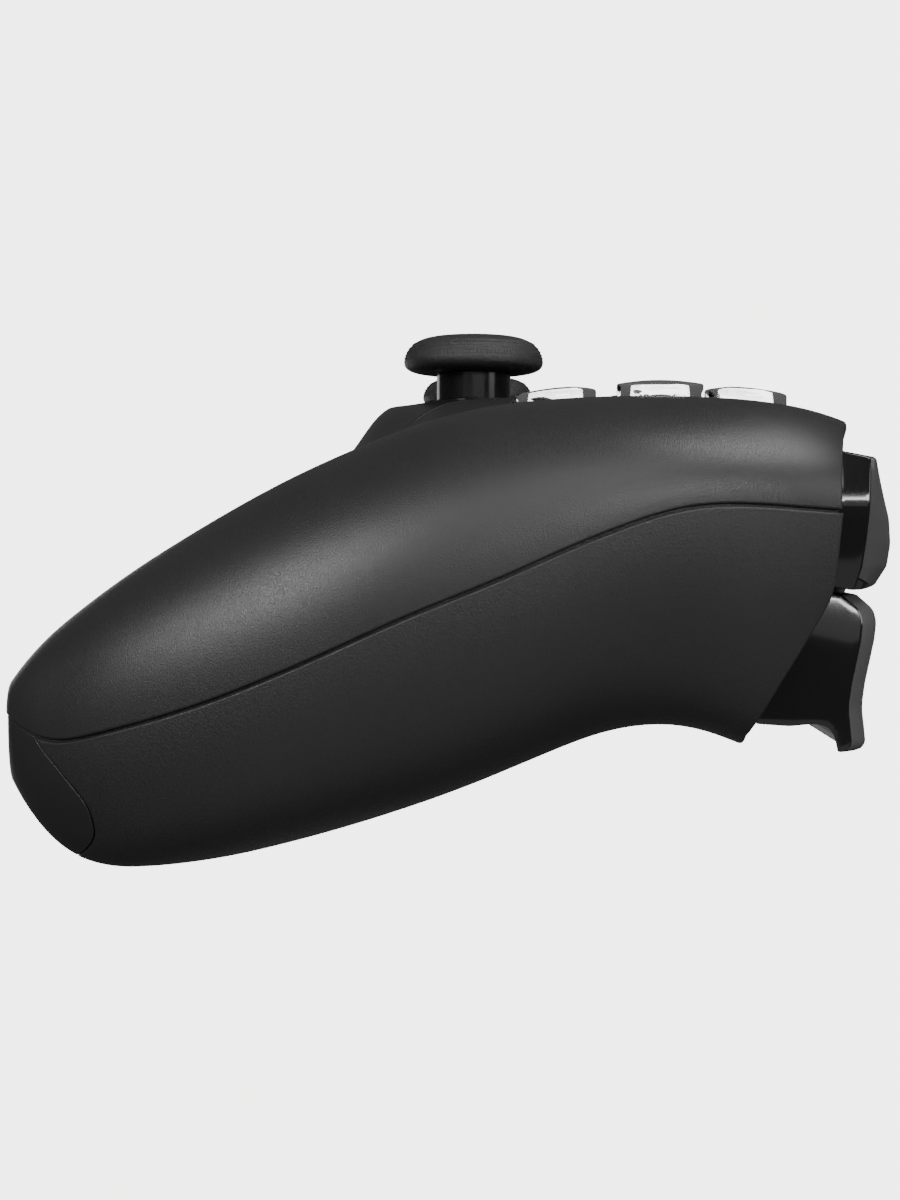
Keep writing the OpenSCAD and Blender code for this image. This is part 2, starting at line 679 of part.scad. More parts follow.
// Side outlines of a trigger and its hollow, about the trigger pin.
trigger_section = [
    [5, 0.5], [7.3, -0.1], [8.6, -1.6], [9.2, -3.3], [9.2, -5.7], [8.3, -10.4], [7.7, -14.4], [7.8, -17],
    [7.1, -17.9], [5.9, -18.1], [5.1, -16.9], [3.3, -15.4], [0.7, -15], [-1.4, -14.5], [-1.8, -10],
    [-2.3, -4], [-2.9, -1], [-2.3, 1.4], [-0.8, 2.9], [1.4, 2.8], [3.2, 1.5],
];
trigger_hollow = [
    [3.4, -0.6], [6.2, -1.6], [7.3, -3.6], [7.3, -5.6], [6.4, -10.2], [5.9, -13.5], [4, -13.5], [-4, -13],
    [-10, -13], [-10, 8], [2.6, 8],
];
function shrink(p, d) = [
    for (i = [0:len(p) - 1])
        let(a = p[(i + len(p) - 1) % len(p)], b = p[(i + 1) % len(p)], t = (b - a) / norm(b - a))
        p[i] + d * [t[1], -t[0]],
];
trigger_in_x = shoulder_in_x + 1.4;
module trigger(side) {
    stops = [[trigger_in_x, 0.7], [trigger_in_x + 0.3, 0.2], [trigger_in_x + 0.8, 0],
             [trigger_out_x - 0.8, 0], [trigger_out_x - 0.3, 0.2], [trigger_out_x, 0.7]];
    color("black") sided(side) translate([0, trigger_pin_y, trigger_pin_z]) difference() {
        ringed([for (s = stops) [for (p = shrink(trigger_section, s[1])) [s[0], p[0], p[1]]]]);
        rotate([90, 0, 90]) translate([0, 0, trigger_in_x + 1.9])
            linear_extrude(trigger_out_x - trigger_in_x - 3.8) polygon(trigger_hollow);
        along_x(trigger_in_x - 1, trigger_out_x + 1, pin_r + pin_clear, 0, 0);
    }
}
module left_trigger() trigger(-1);
module right_trigger() trigger(1);

frame_back_y = front_y - 25;
cheek_outline = [
    for (p = [
        [25, 25], [16.5, 25], [11, 31.6], [10.4, 35], [8.5, 42], [8.5, 47], [14.4, 47], [14.4, 37], [25, 37],
    ]) [front_y - p[0], p[1]],
];
module shoulder_frame(side) {
    color("dimgray") sided(side) difference() {
        union() {
            for (x = [frame_in_x, frame_out_x - cheek]) rotate([90, 0, 90]) translate([0, 0, x])
                linear_extrude(cheek) polygon(cheek_outline);
            block(frame_in_x, frame_out_x, frame_back_y, frame_back_y + 1.6, 25, 37);
        }
        along_x(frame_in_x - 1, frame_out_x + 1, pin_r + 0.01, trigger_pin_y, trigger_pin_z);
        along_x(frame_in_x - 1, frame_out_x + 1, pin_r + 0.01, bumper_pin_y, bumper_pin_z);
    }
}
module left_shoulder_frame() shoulder_frame(-1);
module right_shoulder_frame() shoulder_frame(1);

module trigger_pin(side) {
    color("silver") sided(side) along_x(frame_in_x, frame_out_x, pin_r, trigger_pin_y, trigger_pin_z);
}
module left_trigger_pin() trigger_pin(-1);
module right_trigger_pin() trigger_pin(1);

module bumper_pin(side) {
    color("silver") sided(side) along_x(frame_in_x, frame_out_x, pin_r, bumper_pin_y, bumper_pin_z);
}
module left_bumper_pin() bumper_pin(-1);
module right_bumper_pin() bumper_pin(1);

// Wound spring about the trigger pin, its straight leg resting on the frame.
spring_outer = [for (i = [0:4]) each [[2.1, 0.8 * i - 0.4], [2.3, 0.8 * i - 0.2], [2.3, 0.8 * i + 0.2]]];
spring_inner = [for (i = [4:-1:0]) each [[1.5, 0.8 * i + 0.2], [1.5, 0.8 * i - 0.2], [1.7, 0.8 * i - 0.4]]];
module trigger_spring(side) {
    color("silver") {
        translate([side * 44, trigger_pin_y, trigger_pin_z]) rotate([0, side * 90, 0])
            turned(concat(spring_outer, [[2.1, 3.6], [1.7, 3.6]], spring_inner));
        translate([side * 44, frame_back_y + 1.6, trigger_pin_z + 1.9]) rotate([-90, 0, 0])
            cylinder(h = trigger_pin_y - frame_back_y - 1.6, r = 0.4, $fn = 12);
    }
}
module left_trigger_spring() trigger_spring(-1);
module right_trigger_spring() trigger_spring(1);

// Inside
module main_board() {
    half = [
        [0, 3], [13, 3], [13, -7], [half_w - 20, -7], [half_w - 20, cluster_y + 2.6], [33, cluster_y + 2.6],
        [33, front_y - 17], [12, front_y - 17], [12, front_y - 3.8], [0, front_y - 3.8],
    ];
    color("darkgreen") translate([0, 0, board_z]) linear_extrude(board_top_z - board_z)
        polygon(concat(half, [for (i = [len(half) - 2:-1:1]) [-half[i][0], half[i][1]]]));
}

module battery_tray() {
    color("dimgray") {
        block(-31.9, 31.9, -6, front_y - 10.6, tray_z, tray_top_z);
        difference() {
            block(-31, 31, 0.2, front_y - 15.2, 25, tray_z);
            block(-29.3, 29.3, 1.7, front_y - 16.7, 20, tray_z);
        }
        both() {
            block(31, frame_in_x, frame_back_y + 2, frame_back_y + 9, tray_z, tray_top_z);
            for (y = [-4.5, front_y - 20]) translate([28, y, tray_top_z])
                cylinder(h = board_z - tray_top_z, r = 1.6);
        }
    }
}

module battery() {
    color("silver") block(-28.8, 28.8, 2.2, front_y - 17.2, 24.6, tray_z);
}

// Rubber sheet with a dome under each button, on legs that stand on the board.
module membrane() {
    color("slategray") translate([cluster_x, cluster_y, 0]) {
        difference() {
            block(-15.4, 13.4, -14, 13.9, 46.6, 47.4);
            translate([0, 0, 40]) cylinder(h = 10, r = 2);
            translate([stick_x - cluster_x, stick_y - cluster_y, 40])
                cylinder(h = 10, r = stick_dome_r + 1.8);
        }
        for (p = face_steps) translate([cluster_r * p[0], cluster_r * p[1], 47.4])
            cylinder(h = 1.6, r1 = 3.4, r2 = 2.2);
        for (p = [[9.5, -9.5], [-13.2, 0.8], [11.4, 0.8]]) translate([p[0], p[1], board_top_z])
            cylinder(h = 47 - board_top_z, r = 1.4);
    }
}
module button_membrane() membrane();
module key_membrane() mirror([1, 0, 0]) membrane();

module motor(side) {
    color("silver") translate([side * motor_at[0], motor_at[1], motor_at[2]]) {
        cylinder(h = 18, r = 8.5);
        translate([0, 0, 18]) cylinder(h = 2, r = 3);
    }
}
module left_motor() motor(-1);
module right_motor() motor(1);

module usb_port() {
    color("silver") difference() {
        block(-4.4, 4.4, front_y - 8.5, front_y - 0.4, usb_z - 1.6, board_z);
        block(-2.85, 2.85, front_y - 7, front_y + 7, usb_z - 1.25, usb_z + 1.25);
        for (x = [-2.85, 2.85]) translate([x, front_y - 7, usb_z]) rotate([-90, 0, 0])
            cylinder(h = 20, r = 1.25);
    }
    color("dimgray") block(-3.2, 3.2, front_y - 7.5, front_y - 1.6, usb_z - 0.35, usb_z + 0.35);
}

module headset_jack() {
    color("black") difference() {
        union() {
            block(-3.6, 3.6, -8.6, 0.2, jack_z - 3.6, jack_z + 3.6);
            translate([0, crotch_y + 0.1, jack_z]) rotate([-90, 0, 0]) cylinder(h = 8, r = 3);
        }
        translate([0, crotch_y - 1, jack_z]) rotate([-90, 0, 0]) cylinder(h = 13.5, r = 1.75);
    }
}

module speaker() {
    color("dimgray") translate([0, 11, board_top_z]) {
        cylinder(h = 8, r = 6.6);
        translate([0, 0, 8]) cylinder(h = 1.4, r = 5.4);
    }
}

module touchpad_switch() {
    top = face_at(0, 23) - 2.4;
    color("dimgray") block(-3, 3, 20, 26, board_top_z, top - 1.4);
    color("silver") translate([0, 23, top - 1.4]) cylinder(h = 1.4, r = 1.6);
}

module screw(k, side) {
    p = pillars[k];
    color("silver") sided(side) translate([p[0], p[1], p[3]]) {
        cylinder(h = p[2] - p[3] + 7, r = 1.25);
        difference() {
            translate([0, 0, -1.8]) cylinder(h = 1.8, r = 2.2);
            block(-1.4, 1.4, -0.3, 0.3, -3, -1);
            block(-0.3, 0.3, -1.4, 1.4, -3, -1);
        }
    }
}
module left_front_screw() screw(0, -1);
module right_front_screw() screw(0, 1);
module left_grip_screw() screw(1, -1);
module right_grip_screw() screw(1, 1);

front_shell();
rear_shell();
centre_trim();
touchpad();
left_light_guide();
right_light_guide();
face_button_north();
face_button_east();
face_button_south();
face_button_west();
key_up();
key_right();
key_down();
key_left();
left_menu_button();
right_menu_button();
home_button();
mute_button();
left_bumper();
right_bumper();
left_trigger();
right_trigger();
left_stick_cap();
right_stick_cap();
left_stick_stem();
right_stick_stem();
left_cross_ring();
right_cross_ring();
left_arch();
right_arch();
left_stick_carriage();
right_stick_carriage();
left_stick_base();
right_stick_base();
main_board();
battery();
battery_tray();
button_membrane();
key_membrane();
left_motor();
right_motor();
left_shoulder_frame();
right_shoulder_frame();
left_trigger_pin();
right_trigger_pin();
left_bumper_pin();
right_bumper_pin();
left_trigger_spring();
right_trigger_spring();
usb_port();
headset_jack();
speaker();
touchpad_switch();
left_front_screw();
right_front_screw();
left_grip_screw();
right_grip_screw();
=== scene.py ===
"""Gamepad: smooth shells, buttons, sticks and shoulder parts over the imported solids.

Lengths are millimetres until add_mesh turns them into metres. Lights and the camera are in metres.
"""

import json
import math

import bpy
import numpy as np
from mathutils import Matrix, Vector
from mathutils.geometry import delaunay_2d_cdt

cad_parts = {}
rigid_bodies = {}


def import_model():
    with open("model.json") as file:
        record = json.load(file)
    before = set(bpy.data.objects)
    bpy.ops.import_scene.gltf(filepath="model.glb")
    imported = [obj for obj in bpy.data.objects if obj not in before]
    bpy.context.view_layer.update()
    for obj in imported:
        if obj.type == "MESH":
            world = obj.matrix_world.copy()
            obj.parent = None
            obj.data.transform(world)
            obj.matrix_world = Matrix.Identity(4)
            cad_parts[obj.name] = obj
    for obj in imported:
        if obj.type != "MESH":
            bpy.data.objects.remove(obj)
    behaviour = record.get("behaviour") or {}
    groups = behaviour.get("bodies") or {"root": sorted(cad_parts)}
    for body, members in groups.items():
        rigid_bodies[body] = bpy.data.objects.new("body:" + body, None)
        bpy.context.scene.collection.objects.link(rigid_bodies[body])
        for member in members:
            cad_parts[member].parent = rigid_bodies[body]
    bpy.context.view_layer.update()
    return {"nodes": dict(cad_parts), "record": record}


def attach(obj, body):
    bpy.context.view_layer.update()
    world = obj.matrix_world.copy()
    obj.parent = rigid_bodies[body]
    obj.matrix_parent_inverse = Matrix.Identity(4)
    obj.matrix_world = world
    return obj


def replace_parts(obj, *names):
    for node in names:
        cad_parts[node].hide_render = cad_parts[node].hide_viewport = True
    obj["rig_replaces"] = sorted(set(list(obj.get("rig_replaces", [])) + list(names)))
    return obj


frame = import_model()

MM = 0.001
FRONT_Y = 53.0
CROTCH_Y = -15.0
FACE_Z = 57.2
LAST = 11.0
GAP = 0.15
SIDES = ((-1, "left"), (1, "right"))

# Plan of the body: section lines run from the inner line to the outer line, from the middle to a grip tip.
INNER_LINE = np.array([
    [0, 0], [12, 0.2], [23, 1.2], [30.5, 3.2], [35, 5.6], [38, 8.4], [40.3, 11.6], [42.2, 15.2],
    [44, 19.6], [46.3, 25.6], [49.6, 32.6], [56.2, 37.5],
]) * [1, -1] + [0, CROTCH_Y]
OUTER_LINE = np.array([
    [0, 53], [17, 52.8], [33, 52.6], [49, 53], [64.5, 52], [74.4, 44.5], [78.6, 29], [80, 10],
    [78.8, -11], [75.5, -27.1], [71, -41.1], [64.2, -52.5],
])


def table(pairs):
    """Keys, values and slopes of a smooth curve."""
    t = np.array(pairs, float)
    at = np.arange(len(t))
    low, high = np.maximum(at - 1, 0), np.minimum(at + 1, len(t) - 1)
    return t[:, 0], t[:, 1], (t[high, 1] - t[low, 1]) / (t[high, 0] - t[low, 0])


GRIP_TOP = table([
    [-53, 21.3], [-50.5, 25.1], [-46.8, 28.6], [-37.3, 35.7], [-23, 44.1], [-11, 49.6], [0, 53.4],
    [12, 55.05], [28, 55.15], [40, 53.95], [53, 50.4],
])
CENTRE_TOP = table([
    [-34, 33], [-26, 40], [-19, 46.3], [-14.5, 50.6], [-12.6, 53.2], [-10.8, 55.6], [-8.6, 56.8], [-5, 57.2],
    [8, 57.2], [28, 56.4], [44, 54.8], [53, 53.8],
])
GRIP_BOTTOM = table([
    [-53, 11.2], [-50.6, 6.6], [-47.3, 2.9], [-42.5, 0.4], [-37.7, 0], [-28, 1.2], [-18.6, 3.6], [-9, 6.6],
    [1, 10.2], [10, 14], [17, 16.8], [24, 17.8], [29.5, 16.8], [34, 14.8], [53, 8],
])
CENTRE_BOTTOM = table([[-22, 17.5], [-5, 18], [12, 18.6], [30, 20], [53, 24]])
OUTER_SEAM = table([
    [-53, 18.8], [-46.6, 15.8], [-40, 17.1], [-28, 20.7], [-16.4, 25.4], [-5.4, 30.4], [5.2, 34.7],
    [16, 39.4], [26.6, 42.6], [43, 42], [53, 41.5],
])
INNER_SEAM = table([[-53, 18.8], [-47, 19], [-36, 22], [-25, 28], [-15, 32]])
OUTER_ROLL = table([[0, 9], [3, 10], [4, 12], [5, 18], [6, 25], [9, 20], [11, 9]])
OUTER_ROLL_UP = table([[0, 8], [3, 6], [4, 6], [4.6, 9], [5.2, 17], [6, 24], [9, 20], [11, 9]])
INNER_ROLL = table([[0, 6], [2, 6], [4, 9], [6, 12], [9, 13], [11, 4]])
ROLL_POWER = 2.2
# Distance from the middle at which the body starts to turn into a grip, and how long that takes
BLEND_LONG = 20
BLEND_BELOW = 35
BLEND_ABOVE = 31
BLEND_ABOVE_MORE = 7
BLEND_TURN_Y = -13
BLEND_TURN_LONG = 15
BLUR = [(-1, 0.05), (-0.66, 0.12), (-0.33, 0.2), (0, 0.26), (0.33, 0.2), (0.66, 0.12), (1, 0.05)]


def curve(tab, x):
    """The curve through a table, going straight on past its ends."""
    keys, values, slopes = tab
    at = np.clip(x, keys[0], keys[-1])
    i = np.clip(np.searchsorted(keys, at, side="right") - 1, 0, len(keys) - 2)
    h = keys[i + 1] - keys[i]
    u = (at - keys[i]) / h
    w = 1 - u
    out = values[i] * (1 + 2 * u) * w * w + values[i + 1] * u * u * (3 - 2 * u)
    out = out + h * (slopes[i] * u * w * w - slopes[i + 1] * u * u * w)
    return out + np.minimum(x - keys[0], 0) * slopes[0] + np.maximum(x - keys[-1], 0) * slopes[-1]


def soft(tab, x, reach=4.5):
    """The same curve with its changes of bend evened out."""
    return sum(w * curve(tab, x + o * reach) for o, w in BLUR)


def line_at(points, s):
    """A smooth plan line; past the middle it is mirrored, past the tip it goes straight on."""
    n = len(points)
    tangents = np.vstack([[points[1][0], 0], (points[2:] - points[:-2]) / 2, points[-1] - points[-2]])
    k = np.abs(s)
    i = np.clip(np.floor(k).astype(int), 0, n - 2)
    u = (k - i)[..., None]
    over = np.maximum(u - 1, 0)
    u = np.minimum(u, 1)
    w = 1 - u
    out = points[i] * (1 + 2 * u) * w * w + points[i + 1] * u * u * (3 - 2 * u)
    out = out + tangents[i] * u * w * w - tangents[i + 1] * u * u * w + tangents[-1] * over
    return out * np.stack([np.where(s < 0, -1.0, 1.0), np.ones_like(s)], -1)


def soft_line(points, s, reach=0.55):
    return sum(w * line_at(points, s + o * reach) for o, w in BLUR)


def smoother(u):
    """A step from nought to one without a kink."""
    u = np.clip(u, 0, 1)
    return u * u * u * (u * (6 * u - 15) + 10)


def low_of(a, b, ease=1.0):
    """The lower of two values, eased where they meet."""
    return 0.5 * (a + b - np.sqrt((a - b) ** 2 + ease))


def roll(d, r):
    """Share of the full height at a distance from an edge that is rounded with a radius."""
    rest = 1 - np.clip(d / r, 0, 1)
    return np.power(np.maximum(1 - np.power(rest, ROLL_POWER), 0), 1 / ROLL_POWER)


# The skin closes over a grip tip
TIP_FROM = 10.55
TIP_TURN = 0.9998 * math.pi / 2
TIP_POWER = 0.35
TIP_Y = -52.48
TIP_END = math.cos(TIP_TURN) ** TIP_POWER
TIP_LEAST = 5e-4
V_EDGE = 5e-4


def surf(s, v, up):
    """Points of the body's outer skin. s runs from tip to tip, v from the inner to the outer seam."""
    s = np.asarray(s, float)
    v = np.asarray(v, float)
    k = np.abs(s)
    turn = np.clip((k - TIP_FROM) / (LAST - TIP_FROM), 0, 1) * TIP_TURN
    at = np.where(k > TIP_FROM, TIP_FROM + (LAST - TIP_FROM) * np.sin(turn), k)
    narrow = np.maximum((np.cos(turn) ** TIP_POWER - TIP_END) / (1 - TIP_END), TIP_LEAST)
    a = soft_line(INNER_LINE, at)
    b = soft_line(OUTER_LINE, at)
    t = (1 - np.cos(np.pi * v)) / 2
    w = np.hypot(b[..., 0] - a[..., 0], b[..., 1] - a[..., 1])
    p = a + (b - a) * t[..., None]
    edge = (1 - t) * soft(INNER_SEAM, a[..., 1]) + t * soft(OUTER_SEAM, b[..., 1]) + (GAP if up else -GAP)
    y = p[..., 1]
    start = BLEND_BELOW
    if up:
        start = BLEND_ABOVE + BLEND_ABOVE_MORE * smoother((y - BLEND_TURN_Y) / BLEND_TURN_LONG)
    u = smoother((np.abs(p[..., 0]) - start) / BLEND_LONG)
    if up:
        face = (1 - u) * soft(CENTRE_TOP, y, 2) + u * soft(GRIP_TOP, y)
    else:
        face = (1 - u) * soft(CENTRE_BOTTOM, y) + u * soft(GRIP_BOTTOM, y)
    ri = low_of(soft(INNER_ROLL, at, 0.8), 0.4 * w)
    ro = low_of(soft(OUTER_ROLL_UP if up else OUTER_ROLL, at, 0.8), 0.6 * w)
    f = roll(t * w, ri) * roll((1 - t) * w, ro)
    mid = (a + b) / 2
    p = mid + (p - mid) * narrow[..., None]
    return np.stack([np.where(s < 0, -p[..., 0], p[..., 0]), p[..., 1], edge + (face - edge) * f], -1)


def partials(s, v, up):
    """Slopes of the skin along s and along v."""
    ds, dv = 2e-3, 1e-3
    lo, hi = np.maximum(v - dv, 2e-4), np.minimum(v + dv, 1 - 2e-4)
    ps = (surf(s + ds, v, up) - surf(s - ds, v, up)) / (2 * ds)
    pv = (surf(s, hi, up) - surf(s, lo, up)) / (hi - lo)[..., None]
    return ps, pv


def unit(a):
    return a / np.maximum(np.linalg.norm(a, axis=-1, keepdims=True), 1e-12)


def normals_at(s, v, up):
    ps, pv = partials(s, np.clip(v, V_EDGE, 1 - V_EDGE), up)
    n = unit(np.cross(ps, pv))
    return n if up else -n


def to_sv(points, up, axes=(0, 1), guess=None):
    """The (s, v) of points given by two of their coordinates."""
    points = np.asarray(points, float)
    if guess is None:
        gs, gv = np.meshgrid(np.linspace(-10.4, 10.4, 161), np.linspace(0.03, 0.97, 70))
        flat = surf(gs, gv, up)[..., list(axes)].reshape(-1, 2)
        best = [int(np.argmin(((flat - q) ** 2).sum(1))) for q in points]
        s, v = gs.ravel()[best].copy(), gv.ravel()[best].copy()
    else:
        s, v = np.full(len(points), float(guess[0])), np.full(len(points), float(guess[1]))
    for _ in range(25):
        off = surf(s, v, up)[:, list(axes)] - points
        if np.abs(off).max() < 1e-5:
            break
        ps, pv = partials(s, v, up)
        a, b = ps[:, axes[0]], pv[:, axes[0]]
        c, d = ps[:, axes[1]], pv[:, axes[1]]
        det = a * d - b * c
        det = np.where(np.abs(det) < 1e-9, 1e-9, det)
        s = np.clip(s - np.clip((d * off[:, 0] - b * off[:, 1]) / det, -0.4, 0.4), -10.9, 10.9)
        v = np.clip(v - np.clip((a * off[:, 1] - c * off[:, 0]) / det, -0.05, 0.05), 0.003, 0.997)
    return np.stack([s, v], -1)


def bisect(fun, low, high, n=46):
    """Where a rising function of one array crosses nought, for each element."""
    low, high = np.asarray(low, float).copy(), np.asarray(high, float).copy()
    for _ in range(n):
        mid = (low + high) / 2
        under = fun(mid) < 0
        low = np.where(under, mid, low)
        high = np.where(under, high, mid)
    return (low + high) / 2


def run_of(points):
    """Length along a line up to each of its points."""
    return np.concatenate([[0], np.cumsum(np.linalg.norm(np.diff(points, axis=0), axis=1))])


def spaced(path, up, step):
    """An (s, v) path with its points set evenly along the skin."""
    path = np.asarray(path, float)
    p = surf(path[:, 0], path[:, 1], up)
    run = run_of(p)
    n = max(2, int(round(run[-1] / step)) + 1)
    at = np.linspace(0, run[-1], n)
    return np.stack([np.interp(at, run, path[:, 0]), np.interp(at, run, path[:, 1])], -1)


def same_place(a, b):
    return np.allclose(a, b, atol=1e-6)


def chained(*paths):
    """One path from paths that follow on from each other."""
    out = [paths[0]]
    for p in paths[1:]:
        out.append(p[1:] if same_place(p[0], out[-1][-1]) else p)
    return np.vstack(out)


def joined(*paths):
    """One closed loop from paths that follow on from each other."""
    loop = chained(*paths)
    return loop[:-1] if same_place(loop[0], loop[-1]) else loop


def both_sides(half):
    """A closed loop from its right half, which starts and ends in the middle."""
    half[0, 0] = half[-1, 0] = 0.0
    return joined(half, half[::-1] * [-1, 1])


def across_at(s, v0, v1, n):
    """A path along a section line."""
    return np.stack([np.full(n, s), np.linspace(v0, v1, n)], -1)


def along_at(v, s0, s1, n):
    """A path at one v, such as a seam."""
    return np.stack([np.linspace(s0, s1, n), np.full(n, float(v))], -1)


def area_of(loop):
    x, y = loop[:, 0], loop[:, 1]
    return 0.5 * float(np.sum(x * np.roll(y, -1) - np.roll(x, -1) * y))


def inside(points, loops):
    """Even-odd test of points against closed loops."""
    odd = np.zeros(len(points), bool)
    x, y = points[:, 0], points[:, 1]
    for loop in loops:
        x0, y0 = loop[:, 0], loop[:, 1]
        x1, y1 = np.roll(x0, -1), np.roll(y0, -1)
        for i in range(len(loop)):
            if y0[i] == y1[i]:
                continue
            hit = ((y0[i] > y) != (y1[i] > y)) & (x < (x1[i] - x0[i]) * (y - y0[i]) / (y1[i] - y0[i]) + x0[i])
            odd ^= hit
    return odd


def add_mesh(name, verts, faces, mats, normals=None, face_mats=None, sharp=None):
    mesh = bpy.data.meshes.new(name)
    mesh.from_pydata((np.asarray(verts) * MM).tolist(), [], [list(map(int, f)) for f in faces])
    mats = mats if isinstance(mats, (list, tuple)) else [mats]
    for m in mats:
        mesh.materials.append(m)
    if face_mats is not None:
        mesh.polygons.foreach_set("material_index", np.asarray(face_mats, np.int32))
    mesh.update()
    mesh.shade_smooth()
    if sharp is not None:
        mesh.set_sharp_from_angle(angle=math.radians(sharp))
    if normals is not None:
        mesh.normals_split_custom_set_from_vertices(np.asarray(normals).tolist())
    obj = bpy.data.objects.new(name, mesh)
    bpy.context.scene.collection.objects.link(obj)
    return obj


def placed(obj, body, slot, *nodes):
    """The piece rides a body and stands for CAD nodes; its slot is not used."""
    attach(obj, body)
    if nodes:
        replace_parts(obj, *nodes)


# Panels: how s and v are stretched to be flat, and what changes near a grip tip
S_SCALE = 16.0
V_SCALE = 95.0
SCALES = np.array([S_SCALE, V_SCALE])
GRID_CLEAR = 0.55
LIP_TURNS = [math.radians(a) for a in (30, 60, 90)]
LIP_END_S = 10.9
LIP_END_LONG = 0.09
LIP_END_SHARE = 0.04
THIN_S = 10.1
THIN_LONG = 0.75
THIN_SHARE = 0.88
SINK_S = 9.9
SINK_LONG = 0.8


def inset_loop(loop, lip, up):
    """An (s, v) loop moved in by its lip, with the loop's points on the skin and the lip's size at each."""
    s, v = loop[:, 0], np.clip(loop[:, 1], V_EDGE, 1 - V_EDGE)
    p = surf(s, loop[:, 1], up)
    n = normals_at(s, v, up)
    ps, pv = partials(s, v, up)
    along = unit(np.roll(p, -1, 0) - np.roll(p, 1, 0))
    into = unit(np.cross(n, along))
    ss, sv, vv = (ps * ps).sum(1), (ps * pv).sum(1), (pv * pv).sum(1)
    bs, bv = (into * ps).sum(1), (into * pv).sum(1)
    det = np.maximum(ss * vv - sv ** 2, 1e-9)
    step = np.stack([vv * bs - sv * bv, ss * bv - sv * bs], -1) / det[:, None]
    flat = np.roll(loop, -1, 0) - np.roll(loop, 1, 0)
    flip = np.where(step[:, 1] * flat[:, 0] - step[:, 0] * flat[:, 1] < 0, -1.0, 1.0)
    r = lip * np.maximum(1 - smoother((np.abs(s) - LIP_END_S) / LIP_END_LONG), LIP_END_SHARE)
    inset = loop + step * (flip * r)[:, None]
    inset[:, 1] = np.clip(inset[:, 1], 1e-3, 1 - 1e-3)
    return inset, p, r


def grid_inside(rings, ds, dv):
    """A staggered grid of points inside closed rings and clear of them."""
    lo, hi = np.vstack(rings).min(0), np.vstack(rings).max(0)
    gs = np.arange(lo[0] / S_SCALE, hi[0] / S_SCALE, ds)
    gv = np.arange(lo[1] / V_SCALE, hi[1] / V_SCALE, dv)
    grid = np.stack(np.meshgrid(gs, gv), -1).reshape(-1, 2) * SCALES
    grid[:, 1] += ((np.arange(len(grid)) % len(gs)) % 2) * 0.5 * dv * V_SCALE
    grid = grid[inside(grid, rings)]
    dense = np.vstack([np.vstack([q, (q + np.roll(q, -1, 0)) / 2]) for q in rings])
    near = np.full(len(grid), 1e9)
    for i in range(0, len(dense), 200):
        d2 = ((grid[:, None, :] - dense[None, i:i + 200, :]) ** 2).sum(2).min(1)
        near = np.minimum(near, d2)
    return grid[near > GRID_CLEAR ** 2]


def triangles_in(rings, grid):
    """Points, triangles and the new number of each given point, for the room inside closed rings."""
    flat = np.vstack(rings + [grid])
    edges, start = [], 0
    for q in rings:
        m = len(q)
        edges += [(start + j, start + (j + 1) % m) for j in range(m)]
        start += m
    out_v, _, out_f, orig, _, _ = delaunay_2d_cdt([Vector(c) for c in flat], edges, [], 0, 1e-7)
    source = np.array([o[0] if o else -1 for o in orig])
    pos = np.array([[c[0], c[1]] for c in out_v])
    pos[source >= 0] = flat[source[source >= 0]]
    tris = np.array(out_f)
    tris = tris[inside(pos[tris].mean(1), rings)]
    new_of = np.full(len(flat), -1)
    for i, o in enumerate(orig):
        for j in o:
            new_of[j] = i
    return pos, tris, new_of


